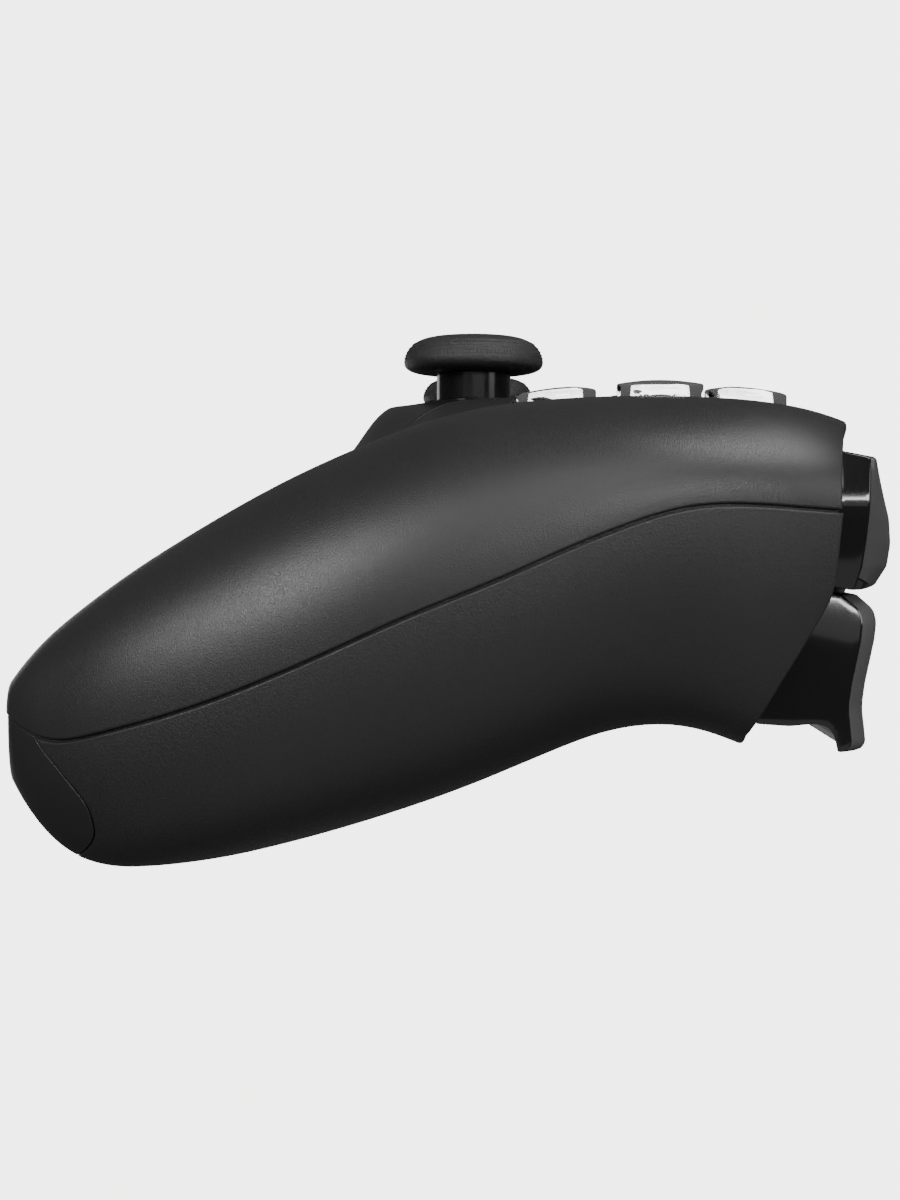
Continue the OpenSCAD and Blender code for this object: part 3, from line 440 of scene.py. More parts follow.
def panel(name, up, loops, mat, thick=1.6, lips=0.3, sink=0.0, tip_sink=0.0, ds=0.075, dv=0.0135):
    """A closed shell of even thickness on the body's skin, with rounded lips round its edge and its holes."""
    lips = lips if isinstance(lips, (list, tuple)) else [lips] * len(loops)
    loops = [q[::-1] if (area_of(q) > 0) != (i == 0) else q for i, q in enumerate(loops)]
    insets = [inset_loop(q, lip, up) for q, lip in zip(loops, lips)]
    rings = [inset * SCALES for inset, _, _ in insets]
    pos, tris, new_of = triangles_in(rings, grid_inside(rings, ds, dv))
    s, v = pos[:, 0] / S_SCALE, pos[:, 1] / V_SCALE
    top = surf(s, v, up)
    nrm = normals_at(s, v, up)
    deep = thick * (1 - THIN_SHARE * smoother((np.abs(s) - THIN_S) / THIN_LONG))
    a, b, c = top[tris[:, 0]], top[tris[:, 1]], top[tris[:, 2]]
    wrong = (np.cross(b - a, c - a) * nrm[tris].mean(1)).sum(1) < 0
    tris[wrong] = tris[wrong][:, ::-1]
    sunk = sink + tip_sink * smoother((np.abs(s) - SINK_S) / SINK_LONG)
    top = top - nrm * sunk[:, None]
    base = len(pos)
    verts = [top, top - nrm * deep[:, None]]
    norms = [nrm, -nrm]
    faces = tris.tolist() + (tris[:, ::-1] + base).tolist()
    count = 2 * base
    start = 0
    for _, p, r in insets:
        m = len(p)
        own = new_of[start:start + m]
        start += m
        n = nrm[own]
        at = top[own]
        away = p - n * sunk[own][:, None] - at
        out = unit(away - n * (away * n).sum(1)[:, None])
        rows = [own]
        for turn in LIP_TURNS:
            off = out * math.sin(turn) - n * (1 - math.cos(turn))
            verts.append(at + off * r[:, None])
            norms.append(unit(n * math.cos(turn) + out * math.sin(turn)))
            rows.append(np.arange(m) + count)
            count += m
        verts.append(at + out * r[:, None] - n * deep[own][:, None])
        norms.append(unit(out - 0.6 * n))
        rows.append(np.arange(m) + count)
        count += m
        rows.append(own + base)
        ahead = np.roll(np.arange(m), -1)
        lead = np.vstack(verts)
        j = m // 3
        quad = [rows[0][j], rows[0][(j + 1) % m], rows[1][(j + 1) % m]]
        face_n = np.cross(lead[quad[1]] - lead[quad[0]], lead[quad[2]] - lead[quad[0]])
        turn_round = float(face_n @ n[j]) < 0
        for k in range(len(rows) - 1):
            f = np.stack([rows[k], rows[k][ahead], rows[k + 1][ahead], rows[k + 1]], -1)
            faces += (f[:, ::-1] if turn_round else f).tolist()
    verts = np.vstack(verts)
    verts[:, 1] = np.maximum(verts[:, 1], TIP_Y)
    return add_mesh(name, verts, faces, mat, np.vstack(norms))


# Edges of the panels
TRIM_LINE = np.array([
    [0, 14.85], [13, 14.85], [26, 14.85], [33, 15.85], [39, 12], [43.5, 5], [45.5, -4], [46.6, -14],
    [48, -26], [50.2, -38], [54, -48], [59, -54],
])
BAY_Z = [10, 16.5, 22.7, 29.3, 32, 34.2, 41.7, 60]
BAY_Y = [32.6, 33, 36.2, 40, 41.6, 42.3, 43.1, 43.4]
BAY_IN_X = 35.6
BAY_SIDE_X = 73.5
BAY_LEAN = 0.05
# The upper shell over a bumper: it reaches further to the front away from the side, up to a limit
BAY_UP_Y = 43.2
BAY_UP_SLOPE = 0.25
BAY_UP_REACH = 3.63
BAY_UP_LEAN = 0.03
BAY_UP_EASE = 0.3
# The room below a trigger
ROOM_Y = 33.4
ROOM_X = 63.8
ROOM_Z = 30
ROOM_EASE = 2.5
PAD_REAR_Y, PAD_FRONT_Y = 15.0, 50.2
PAD_REAR_X, PAD_FRONT_X = 26.0, 30.0
PAD_GAP = 0.3
PAD_CORNER_R = 1.2
LIGHT_W = 1.5
HOLE_GAP = 0.3
STICK_AT = (31.0, 1.9)
CLUSTER_AT = (47.0, 24.4)
CLUSTER_R = 12.0
BUTTON_R = 5.15
MENU_AT = (37.2, 39.0)
MENU_HALF, MENU_R = 2.0, 1.3
HOME_AT = (0.0, 3.6)
HOME_R = 4.2
MUTE_AT = (0.0, -4.8)
MUTE_HALF, MUTE_R = 3.0, 1.2
WELL_R = 11.0
SOUND_Y = 10.8
SOUND_HALF, SOUND_R = 0.6, 0.5
PILLARS = [(63.5, 4.0), (59.5, -36.0)]
PILLAR_R = 2.5
JACK_Z, JACK_R = 27, 3.3
USB_Z, USB_HALF, USB_R = 36.4, 3.2, 2.0


def trim_v(s):
    """v of the trim's edge on each section."""
    dense = line_at(TRIM_LINE, np.linspace(0, LAST, 400))
    a, b = soft_line(INNER_LINE, s), soft_line(OUTER_LINE, s)
    out = np.zeros(len(s))
    for i in range(len(s)):
        d = b[i] - a[i]
        side = d[0] * (dense[:, 1] - a[i, 1]) - d[1] * (dense[:, 0] - a[i, 0])
        j = int(np.argmin(np.abs(side)))
        near = np.flatnonzero(np.sign(side[:-1]) != np.sign(side[1:]))
        if len(near):
            j = int(near[0])
        e = dense[min(j + 1, len(dense) - 1)] - dense[j]
        m = np.array([[d[0], -e[0]], [d[1], -e[1]]])
        t = np.linalg.solve(m, dense[j] - a[i])[0]
        out[i] = math.acos(1 - 2 * min(max(t, 0.001), 0.999)) / math.pi
    return out


TRIM_S = np.linspace(0, LAST, 260)
TRIM_V = trim_v(np.minimum(TRIM_S, LAST - 1e-4))
TRIM_V = np.convolve(np.pad(TRIM_V, 3, mode="edge"), np.ones(7) / 7, mode="valid")
TRIM_GAP = GAP / np.linalg.norm(partials(TRIM_S, np.clip(TRIM_V, V_EDGE, 1 - V_EDGE), True)[1], axis=1)


def bay_y(x, z, up):
    """How far the shells reach to the front beside and over a bumper."""
    if up:
        back = BAY_SIDE_X - x
        return BAY_UP_Y + low_of(BAY_UP_SLOPE * back, BAY_UP_REACH + BAY_UP_LEAN * back, BAY_UP_EASE)
    return np.interp(z, BAY_Z, BAY_Y) + BAY_LEAN * (BAY_SIDE_X - x)


def bay_over(s, v, up):
    """Above nought in the room of a bumper and a trigger."""
    p = surf(s, v, up)
    x, y, z = np.abs(p[..., 0]), p[..., 1], p[..., 2]
    cut = y - bay_y(x, z, up)
    if up:
        return cut
    room = low_of(low_of(y - ROOM_Y, ROOM_X - x), ROOM_Z - z)
    return -low_of(-cut, -room, ROOM_EASE)


def bay_path(up):
    """Edge of the bay on the skin, from the outer seam to the inner end of the bay."""
    probe = np.array([[0, 0], [0.05, 0], [-0.05, 0], [0, 0.05], [0, -0.05]])

    def look(q):
        at = (q + probe) / SCALES
        f = bay_over(at[:, 0], at[:, 1], up)
        return f[0], np.array([f[1] - f[2], f[3] - f[4]]) / 0.1

    first = bisect(lambda s: -bay_over(s, np.full_like(s, 0.998), up), [4.2], [6.0])
    path = [np.array([float(first[0]), 0.998])]
    ahead = np.array([0.0, -1.0])
    for _ in range(400):
        start = path[-1] * SCALES
        g = look(start)[1]
        along = np.array([-g[1], g[0]]) / max(np.hypot(*g), 1e-9)
        q = start + along * (0.5 if along @ ahead > 0 else -0.5)
        for _ in range(4):
            value, g = look(q)
            move = value * g / max(g @ g, 1e-6)
            q = q - move * min(1.0, 0.6 / max(np.hypot(*move), 1e-9))
        ahead = (q - start) / max(np.hypot(*(q - start)), 1e-9)
        path.append(q / SCALES)
        if abs(surf(path[-1][:1], path[-1][1:], up)[0, 0]) < BAY_IN_X:
            break
    return np.array(path)


BAY_EDGE = {up: bay_path(up) for up in (True, False)}


def step_path(up, v_from):
    """The edge at the inner end of the bay, from the front seam back to the bay's edge."""
    v = np.linspace(1, v_from, 40)
    s = bisect(lambda s: surf(s, v, up)[..., 0] - BAY_IN_X, np.full(40, 1.2), np.full(40, 4.6))
    return np.stack([s, v], -1)


def shell_front(up):
    """The front edge of a shell, from the middle to where the outer seam starts."""
    bay = BAY_EDGE[up]
    edge = step_path(up, bay[-1][1])
    bay = bay[:-1]
    seam = along_at(1, 0, edge[0, 0], 40)
    start = np.array([[bay[0, 0], 1.0]])
    return joined(spaced(seam, up, 1.0), spaced(edge, up, 0.6), spaced(bay[::-1], up, 0.7), start)


def round_loop(at, r, up, n=72):
    turns = np.linspace(0, 2 * np.pi, n, endpoint=False)
    return to_sv(np.stack([at[0] + r * np.cos(turns), at[1] + r * np.sin(turns)], -1), up)


def rounded(points, r, n=7):
    """A polygon with its corners rounded."""
    points = np.asarray(points, float)
    r = r if isinstance(r, (list, tuple)) else [r] * len(points)
    out = []
    for i, p in enumerate(points):
        a, b = points[i - 1] - p, points[(i + 1) % len(points)] - p
        la, lb = np.hypot(*a), np.hypot(*b)
        a, b = a / la, b / lb
        half = math.acos(max(-1, min(1, float(a @ b)))) / 2
        cut = min(r[i] / math.tan(half), 0.48 * la, 0.48 * lb)
        radius = cut * math.tan(half)
        if radius < 1e-6 or half > 1.56:
            out.append(p)
            continue
        mid = unit(a + b)
        centre = p + mid * (radius / math.sin(half))
        first, end = p + a * cut - centre, p + b * cut - centre
        t0, t1 = math.atan2(first[1], first[0]), math.atan2(end[1], end[0])
        sweep = (t1 - t0 + math.pi) % (2 * math.pi) - math.pi
        for k in range(n + 1):
            t = t0 + sweep * k / n
            out.append(centre + radius * np.array([math.cos(t), math.sin(t)]))
    return np.array(out)


def filled(loop, step):
    """A closed plan loop with points added so that none are further apart than a step."""
    out = []
    for a, b in zip(loop, np.roll(loop, -1, 0)):
        n = max(1, int(math.ceil(np.hypot(*(b - a)) / step)))
        out += [a + (b - a) * k / n for k in range(n)]
    return np.array(out)


def slot_outline(at, half, r, across, n=16):
    """Outline with round ends, along X or along Y."""
    turns = np.linspace(-np.pi / 2, np.pi / 2, n)
    right = np.stack([half + r * np.cos(turns), r * np.sin(turns)], -1)
    loop = np.vstack([right, -right])
    loop = loop if across else loop[:, ::-1] * [-1, 1]
    return loop + np.asarray(at)


KEY_OUTLINE = [[2.6, 0], [6.2, -3.8], [13, -4.2], [13.8, -3.4], [13.8, 3.4], [13, 4.2], [6.2, 3.8]]


def turned_by(points, quarter):
    c, s = [(1, 0), (0, 1), (-1, 0), (0, -1)][quarter % 4]
    points = np.asarray(points, float)
    return np.stack([points[:, 0] * c - points[:, 1] * s, points[:, 0] * s + points[:, 1] * c], -1)


def grown(loop, d):
    """A closed plan loop, turning left, moved outwards."""
    t = unit(np.roll(loop, -1, 0) - np.roll(loop, 1, 0))
    return loop + d * np.stack([t[:, 1], -t[:, 0]], -1)


def face_places():
    x, y = CLUSTER_AT
    return [(x, y + CLUSTER_R), (x + CLUSTER_R, y), (x, y - CLUSTER_R), (x - CLUSTER_R, y)]


# Front shell
def front_shell_loops():
    up = True
    front = shell_front(up)
    outer = along_at(1, front[-1, 0], LAST, 120)
    v_tip = TRIM_V[-1] + TRIM_GAP[-1]
    nose = across_at(LAST, 1, v_tip, 8)
    beside = LIGHT_W + 2 * PAD_GAP
    side = PAD_REAR_X + beside
    corner = to_sv([[side, PAD_REAR_Y - 0.1]], up)[0]
    trim = np.stack([TRIM_S, TRIM_V + TRIM_GAP], -1)[::-1]
    trim = trim[trim[:, 0] > corner[0] + 0.03]
    front_y = PAD_FRONT_Y + PAD_GAP
    corners = [[side, PAD_REAR_Y - PAD_GAP], [PAD_FRONT_X + beside, front_y], [0, front_y], [0, PAD_REAR_Y]]
    pad_edge = rounded(corners, [0, PAD_CORNER_R, 0, 0])[:-1]
    runs = [np.linspace(a, b, 24)[:-1] for a, b in zip(pad_edge, pad_edge[1:])]
    pad_edge = spaced(to_sv(np.vstack(runs + [pad_edge[-1:]]), up), up, 0.9)
    half = chained(front, spaced(outer, up, 1.0), nose, spaced(trim, up, 1.0), pad_edge)
    loops = [both_sides(half)]
    for at in face_places():
        loops.append(round_loop(at, BUTTON_R + HOLE_GAP, up))
    for k in range(4):
        hole = grown(filled(rounded(turned_by(KEY_OUTLINE, k), 0.7, 5), 0.6), HOLE_GAP)
        loops.append(to_sv(hole + [-CLUSTER_AT[0], CLUSTER_AT[1]], up))
    for side, _ in SIDES:
        hole = slot_outline((side * MENU_AT[0], MENU_AT[1]), MENU_HALF, MENU_R + HOLE_GAP, False)
        loops.append(to_sv(filled(hole, 0.5), up))
    return loops


def centre_trim_loops():
    up = True
    v_tip = TRIM_V[-1] - TRIM_GAP[-1]
    edge = spaced(np.stack([TRIM_S, TRIM_V - TRIM_GAP], -1), up, 0.9)
    nose = across_at(LAST, v_tip, 0, 6)
    seam = spaced(along_at(0, LAST, 0, 150), up, 1.0)
    half = np.vstack([edge, nose[1:], seam[1:]])
    loops = [both_sides(half)]
    for side, _ in SIDES:
        loops.append(round_loop((side * STICK_AT[0], STICK_AT[1]), WELL_R, up, 96))
    loops.append(round_loop(HOME_AT, HOME_R + HOLE_GAP, up, 56))
    loops.append(to_sv(filled(slot_outline(MUTE_AT, MUTE_HALF, MUTE_R + HOLE_GAP, True), 0.5), up))
    for x in range(-5, 6, 2):
        hole = slot_outline((x, SOUND_Y), SOUND_HALF, SOUND_R, False, 9)
        loops.append(to_sv(filled(hole, 0.3), up))
    return loops


# Seam between the rear shell and the tip of a grip, as y against z.
TONGUE_LINE = table([
    [-1, -48], [0.8, -46], [2.2, -43.6], [3.3, -42.2], [4.6, -41.1], [6, -40.7], [9, -41.4], [12.7, -44.6],
    [15.4, -47.3], [19, -49.6],
])


def tongue_path(shift):
    """From the outer seam under the grip to the inner seam."""
    v = np.linspace(1, 0, 90)

    def over(s):
        p = surf(s, v, False)
        return curve(TONGUE_LINE, p[..., 2]) - p[..., 1] + shift

    return np.stack([bisect(over, np.full(90, 9.0), np.full(90, 10.98)), v], -1)


TONGUE_GAP = 0.06


def rear_shell_loops():
    up = False
    front = shell_front(up)
    tongue = tongue_path(TONGUE_GAP)
    outer = along_at(1, front[-1, 0], tongue[0, 0], 120)
    inner = along_at(0, tongue[-1, 0], 0, 120)
    outer, tongue, inner = spaced(outer, up, 1.0), spaced(tongue, up, 0.7), spaced(inner, up, 1.0)
    half = np.vstack([front, outer[1:], tongue[1:], inner[1:]])
    loops = [both_sides(half)]
    for side, _ in SIDES:
        for x, y in PILLARS:
            loops.append(round_loop((side * x, y), PILLAR_R, up, 40))
    turns = np.linspace(0, 2 * np.pi, 48, endpoint=False)
    jack = np.stack([JACK_R * np.cos(turns), JACK_Z + JACK_R * np.sin(turns)], -1)
    loops.append(to_sv(jack, up, (0, 2), (0.0, 0.06)))
    usb = filled(slot_outline((0, USB_Z), USB_HALF, USB_R, True), 0.5)
    loops.append(to_sv(usb, up, (0, 2), (0.0, 0.95)))
    return loops


def tongue_loop(side):
    up = False
    seam = tongue_path(-TONGUE_GAP)
    outer = along_at(1, seam[0, 0], LAST, 60)
    nose = across_at(LAST, 1, 0, 12)
    inner = along_at(0, LAST, seam[-1, 0], 60)
    loop = np.vstack([
        spaced(outer, up, 0.6), nose[1:], spaced(inner, up, 0.6)[1:], spaced(seam[::-1], up, 0.6)[1:-1],
    ])
    return [loop * [side, 1]]


def pad_outline():
    rear = [[side * PAD_REAR_X, PAD_REAR_Y] for side in (-1, 1)]
    front = [[side * PAD_FRONT_X, PAD_FRONT_Y] for side in (1, -1)]
    return filled(rounded(rear + front, [0.8, 0.8, PAD_CORNER_R, PAD_CORNER_R]), 0.9)


def light_outline(side):
    rear, front = PAD_REAR_X + PAD_GAP, PAD_FRONT_X + PAD_GAP
    corners = [
        [rear, PAD_REAR_Y], [rear + LIGHT_W, PAD_REAR_Y],
        [front + LIGHT_W, PAD_FRONT_Y], [front, PAD_FRONT_Y],
    ]
    return filled(rounded(corners, 0.35, 4), 0.7) * [side, 1]


# Materials
def node(tree, kind, **values):
    """A new node with its own settings and the values of its inputs."""
    n = tree.nodes.new(kind)
    for key, value in values.items():
        if hasattr(n, key):
            setattr(n, key, value)
        else:
            n.inputs[key.replace("_", " ").title()].default_value = value
    return n


def link(tree, source, output, target, into):
    tree.links.new(source.outputs[output], target.inputs[into])


def new_material(name, values):
    """A material whose main shader has the given values, with its nodes and that shader."""
    mat = bpy.data.materials.new(name)
    mat.use_nodes = True
    tree = mat.node_tree
    shader = next(n for n in tree.nodes if n.type == "BSDF_PRINCIPLED")
    for key, value in values.items():
        shader.inputs[key].default_value = value
    return mat, tree, shader


def noise(tree, scale, detail):
    """Noise that is fixed to the piece."""
    where = node(tree, "ShaderNodeTexCoord")
    fine = node(tree, "ShaderNodeTexNoise", scale=scale, detail=detail)
    link(tree, where, "Object", fine, "Vector")
    return fine


def tinted(tree, shader, fine, color, shares, places):
    """The shader's colour runs between two shares of a colour along the noise."""
    tint = node(tree, "ShaderNodeValToRGB")
    for stop, share, place in zip(tint.color_ramp.elements, shares, places):
        stop.color = (*(np.array(color) * share).tolist(), 1)
        stop.position = place
    link(tree, fine, "Fac", tint, "Fac")
    link(tree, tint, "Color", shader, "Base Color")


def plastic(name, color, rough, grain=0.0, grain_size=0.25, rough_spread=0.0, coat=0.0, coat_rough=0.1,
            specular=0.5, bump_depth=0.03):
    """Moulded plastic: an even colour with faint cloudiness, and a fine moulded grain with its glints."""
    values = {
        "Roughness": rough, "Specular IOR Level": specular,
        "Coat Weight": coat, "Coat Roughness": coat_rough,
    }
    mat, tree, shader = new_material(name, values)
    tinted(tree, shader, noise(tree, 60.0, 3.0), color, (0.93, 1.07), (0.35, 0.65))
    if grain:
        fine = noise(tree, 1000.0 / grain_size, 2.0)
        bump = node(tree, "ShaderNodeBump", strength=grain, distance=bump_depth * MM)
        link(tree, fine, "Fac", bump, "Height")
        link(tree, bump, "Normal", shader, "Normal")
        if rough_spread:
            spread = node(tree, "ShaderNodeMapRange", from_min=0.3, from_max=0.7,
                          to_min=rough - rough_spread, to_max=rough + rough_spread)
            link(tree, fine, "Fac", spread, "Value")
            link(tree, spread, "Result", shader, "Roughness")
    return mat


def clear_acrylic(name):
    values = {"Base Color": (0.95, 0.96, 0.97, 1), "Roughness": 0.03, "IOR": 1.46, "Transmission Weight": 1.0}
    return new_material(name, values)[0]


def metal(name, color, rough):
    mat, tree, shader = new_material(name, {"Metallic": 1.0, "Roughness": rough})
    tinted(tree, shader, noise(tree, 900.0, 3.0), color, (0.85, 1), (0, 1))
    return mat


CHARCOAL = plastic("charcoal_shell", (0.017, 0.017, 0.0175), 0.39,
                   grain=0.8, grain_size=0.17, rough_spread=0.1)
REAR = plastic("black_shell", (0.014, 0.014, 0.0143), 0.48, grain=0.75, grain_size=0.25, bump_depth=0.06,
               rough_spread=0.1)
TRIM = plastic("gloss_trim", (0.010, 0.010, 0.0105), 0.3, coat=0.3, coat_rough=0.12)
TONGUE = plastic("grip_tongue", (0.013, 0.013, 0.0134), 0.46, grain=0.2, grain_size=0.2)
PAD = plastic("pad", (0.022, 0.022, 0.023), 0.5, grain=0.35, grain_size=0.3)
LIGHT = plastic("light", (0.75, 0.77, 0.8), 0.25)
CLEAR = clear_acrylic("clear_button")
CORE = plastic("button_core", (0.012, 0.012, 0.013), 0.8, specular=0.0)
DARK = plastic("dark_button", (0.03, 0.03, 0.031), 0.38, grain=0.15, grain_size=0.15)
GLOSS = plastic("shoulder_gloss", (0.006, 0.006, 0.0065), 0.12, coat=0.4, coat_rough=0.05)
SATIN = plastic("shoulder_satin", (0.06, 0.06, 0.061), 0.45, grain=0.3, grain_size=0.15)
RUBBER = plastic("stick_rubber", (0.02, 0.02, 0.0205), 0.55, grain=1.0, grain_size=0.35, bump_depth=0.12)
STEM = plastic("stick_plastic", (0.006, 0.006, 0.0065), 0.16, specular=0.3)
INSIDE = plastic("inner_plastic", (0.05, 0.05, 0.054), 0.5, grain=0.1)
BOARD = plastic("board", (0.02, 0.09, 0.045), 0.4)
MEMBRANE = plastic("membrane", (0.16, 0.165, 0.175), 0.6)
STEEL = metal("steel", (0.6, 0.6, 0.62), 0.3)
CELL = metal("cell", (0.55, 0.56, 0.58), 0.42)

SLOT_MATERIALS = {
    "inner_plastic": INSIDE, "steel": STEEL, "board": BOARD, "cell": CELL, "membrane": MEMBRANE,
}

# Shells
placed(panel("front_shell_skin", True, front_shell_loops(), CHARCOAL, lips=[0.28] + [0.25] * 10),
       "pad_body", "charcoal_shell", "front_shell")
placed(panel("rear_shell_skin", False, rear_shell_loops(), REAR, lips=[0.28] + [0.3] * 6),
       "pad_body", "black_shell", "rear_shell")
trim_lips = [0.28, 0.9, 0.9, 0.25, 0.25] + [0.12] * 6
placed(panel("centre_trim_skin", True, centre_trim_loops(), TRIM, lips=trim_lips, sink=0.05),
       "pad_body", "gloss_trim", "centre_trim")
for side, word in SIDES:
    loops = tongue_loop(side)
    tongue = panel(word + "_grip_tongue", False, loops, TONGUE, lips=0.12, sink=0.04, tip_sink=0.15)
    placed(tongue, "pad_body", "gloss_trim")
    loop = to_sv(light_outline(side), True)
    strip = panel(word + "_light_strip", True, [loop], LIGHT, lips=0.2, sink=0.2, ds=0.03)
    placed(strip, "pad_body", "light", word + "_light_guide")
pad_skin = panel("touchpad_skin", True, [to_sv(pad_outline(), True)], PAD, lips=0.35)
placed(pad_skin, "touchpad", "pad", "touchpad")


# Turned, raised and drawn-out pieces
def smoothed(points, times=2):
    """An open line with its corners cut smooth; its ends stay."""
    p = np.asarray(points, float)
    for _ in range(times):
        a, b = p[:-1] * 0.75 + p[1:] * 0.25, p[:-1] * 0.25 + p[1:] * 0.75
        p = np.vstack([p[:1], np.stack([a, b], 1).reshape(-1, 2)[1:-1], p[-1:]])
    return p


def strip_faces(rows, n):
    """Quads between closed rings of n points each, which follow on from each other."""
    faces = []
    for i in range(rows - 1):
        for j in range(n):
            k = (j + 1) % n
            faces.append([i * n + j, i * n + k, (i + 1) * n + k, (i + 1) * n + j])
    return faces


def lathe(name, profile, at, mats, n=96, sharp=35, bump=None):
    """A turned solid from a closed profile of (radius, height) that starts and ends on the axis."""
    profile = np.asarray(profile, float)
    turns = np.linspace(0, 2 * np.pi, n, endpoint=False)
    verts, rows = [], []
    for r, z in profile:
        if r < 1e-6:
            rows.append([len(verts)])
            verts.append([at[0], at[1], at[2] + z])
            continue
        rows.append(list(range(len(verts), len(verts) + n)))
        rr = r + (bump(turns, r, z) if bump else 0)
        for x, y in zip(rr * np.cos(turns), rr * np.sin(turns)):
            verts.append([at[0] + x, at[1] + y, at[2] + z])
    faces = []
    for a, b in zip(rows, rows[1:]):
        for j in range(n):
            k = (j + 1) % n
            if len(a) == 1 and len(b) == 1:
                break
            if len(a) == 1:
                faces.append([a[0], b[j], b[k]])
            elif len(b) == 1:
                faces.append([a[j], b[0], a[k]])
            else:
                faces.append([a[j], b[j], b[k], a[k]])
    return add_mesh(name, verts, faces, mats, sharp=sharp)


def bevelled(name, outline, z0, z1, bevel, crown, at, mats):
    """An upright solid over a plan outline, its top edge rounded and its top slightly crowned."""
    outline = np.asarray(outline, float)
    if area_of(outline) < 0:
        outline = outline[::-1]
    middle = outline.mean(0)
    rings = [(outline, z0), (outline, z1 - bevel)]
    for a in (18, 36, 54, 72, 90):
        t = math.radians(a)
        rings.append((grown(outline, -bevel * (1 - math.cos(t))), z1 - bevel + bevel * math.sin(t)))
    top = rings[-1][0]
    for share in (0.8, 0.55, 0.3, 0.1):
        rings.append((middle + (top - middle) * share, z1 + crown * (1 - share * share)))
    n = len(outline)
    verts = [[at[0] + x, at[1] + y, at[2] + z] for ring, z in rings for x, y in ring]
    faces = strip_faces(len(rings), n) + [list(range(n))[::-1]]
    verts.append([at[0] + middle[0], at[1] + middle[1], at[2] + z1 + crown])
    base = (len(rings) - 1) * n
    faces += [[base + j, base + (j + 1) % n, len(verts) - 1] for j in range(n)]
    return add_mesh(name, verts, faces, mats, sharp=35)


def through(points, n):
    """A smooth open line through points, cut into n points set evenly."""
    p = np.asarray(points, float)
    run = run_of(p)
    at = np.linspace(0, run[-1], n)
    return np.stack([curve(table(np.stack([run, p[:, k]], -1)), at) for k in (0, 1)], -1)


def filled_face(ring, step, levels=None):
    """Points and triangles that fill a closed ring; the ring's own points come first."""
    lo, hi = ring.min(0), ring.max(0)
    gy, gz = np.arange(lo[0], hi[0], step), np.arange(lo[1], hi[1], step)
    if levels:
        gz = np.sort(np.concatenate([gz[np.abs(gz[:, None] - levels).min(1) > 0.4 * step], levels]))
    grid = np.stack(np.meshgrid(gy, gz), -1).reshape(-1, 2)
    grid = grid[inside(grid, [ring])]
    far = ((grid[:, None, :] - ring[None, :, :]) ** 2).sum(2).min(1) > (0.6 * step) ** 2
    points, tris, _ = triangles_in([ring], grid[far])
    return points, tris


def drawn(name, ring_at, stations, side, pick, dish, step=0.8, levels=None):
    """A glossy solid with a satin front, drawn along X through rings of (y, z). A station is (x, inset)."""
    rings = []
    for x, inset in stations:
        ring = ring_at(x)
        rings.append((x, grown(ring, -inset) if inset else ring))
    n = len(rings[0][1])
    parts = [np.column_stack([np.full(n, x), ring]) for x, ring in rings]
    faces = strip_faces(len(rings), n)
    kinds = [int(pick(i, j)) for i in range(len(rings) - 1) for j in range(n)]
    start = len(rings) * n
    for first, (x, ring) in ((0, rings[0]), ((len(rings) - 1) * n, rings[-1])):
        flat, tris = filled_face(ring, step, levels)
        ids = np.concatenate([np.arange(n) + first, np.arange(len(flat) - n) + start])
        start += len(flat) - n
        parts.append(np.column_stack([np.full(len(flat) - n, x), flat[n:]]))
        a, b, c = flat[tris[:, 0]], flat[tris[:, 1]], flat[tris[:, 2]]
        turn = (b[:, 0] - a[:, 0]) * (c[:, 1] - a[:, 1]) - (b[:, 1] - a[:, 1]) * (c[:, 0] - a[:, 0])
        tris = np.where(((turn > 0) == (first > 0))[:, None], tris, tris[:, ::-1])
        faces += ids[tris].tolist()
        kinds += [0] * len(tris)
    verts = np.vstack(parts)
    verts[:, 0] += dish(verts)
    verts[:, 0] *= side
    if side < 0:
        faces = [f[::-1] for f in faces]
    return add_mesh(name, verts, faces, [GLOSS, SATIN], face_mats=kinds, sharp=25)


END_R = 0.15
END_TURNS = np.radians([0, 22, 45, 67, 90])
END_COUNT = len(END_TURNS)


def end_stations(x0, x1, between):
    """Stations of a drawn piece with rounded ends."""
    r = END_R
    first = [(x0 + r * (1 - math.cos(t)), r * (1 - math.sin(t))) for t in END_TURNS]
    middle = [(x, 0.0) for x in np.linspace(x0 + r, x1 - r, between + 2)[1:-1]]
    end = [(x1 - (x - x0), i) for x, i in first[::-1]]
    return first + middle + end


# Face buttons: clear caps over dark cores
FACE_NAMES = ["north", "east", "south", "west"]
BUTTON_TOP = 58.0
CAP_FOOT = 54.4
CORE_FOOT = 50.2
CORE_SIDE = 54.55
FLANGE_TOP = 51.4
FLANGE_OUT = 0.7
KEY_TOP = 57.3
EDGE = 0.3
DOME = 0.35
LEAN = 0.0042
LEAN_FROM = 0.42


def lean_outward(cap):
    """The four tops follow one shallow dome about the middle of the cluster."""
    for vert in cap.data.vertices:
        x, y, z = np.array(vert.co) / MM
        away = (x - CLUSTER_AT[0]) ** 2 + (y - CLUSTER_AT[1]) ** 2
        drop = max(LEAN * away - LEAN_FROM, 0)
        vert.co.z -= MM * drop * max(z - CAP_FOOT, 0) / (BUTTON_TOP - CAP_FOOT)


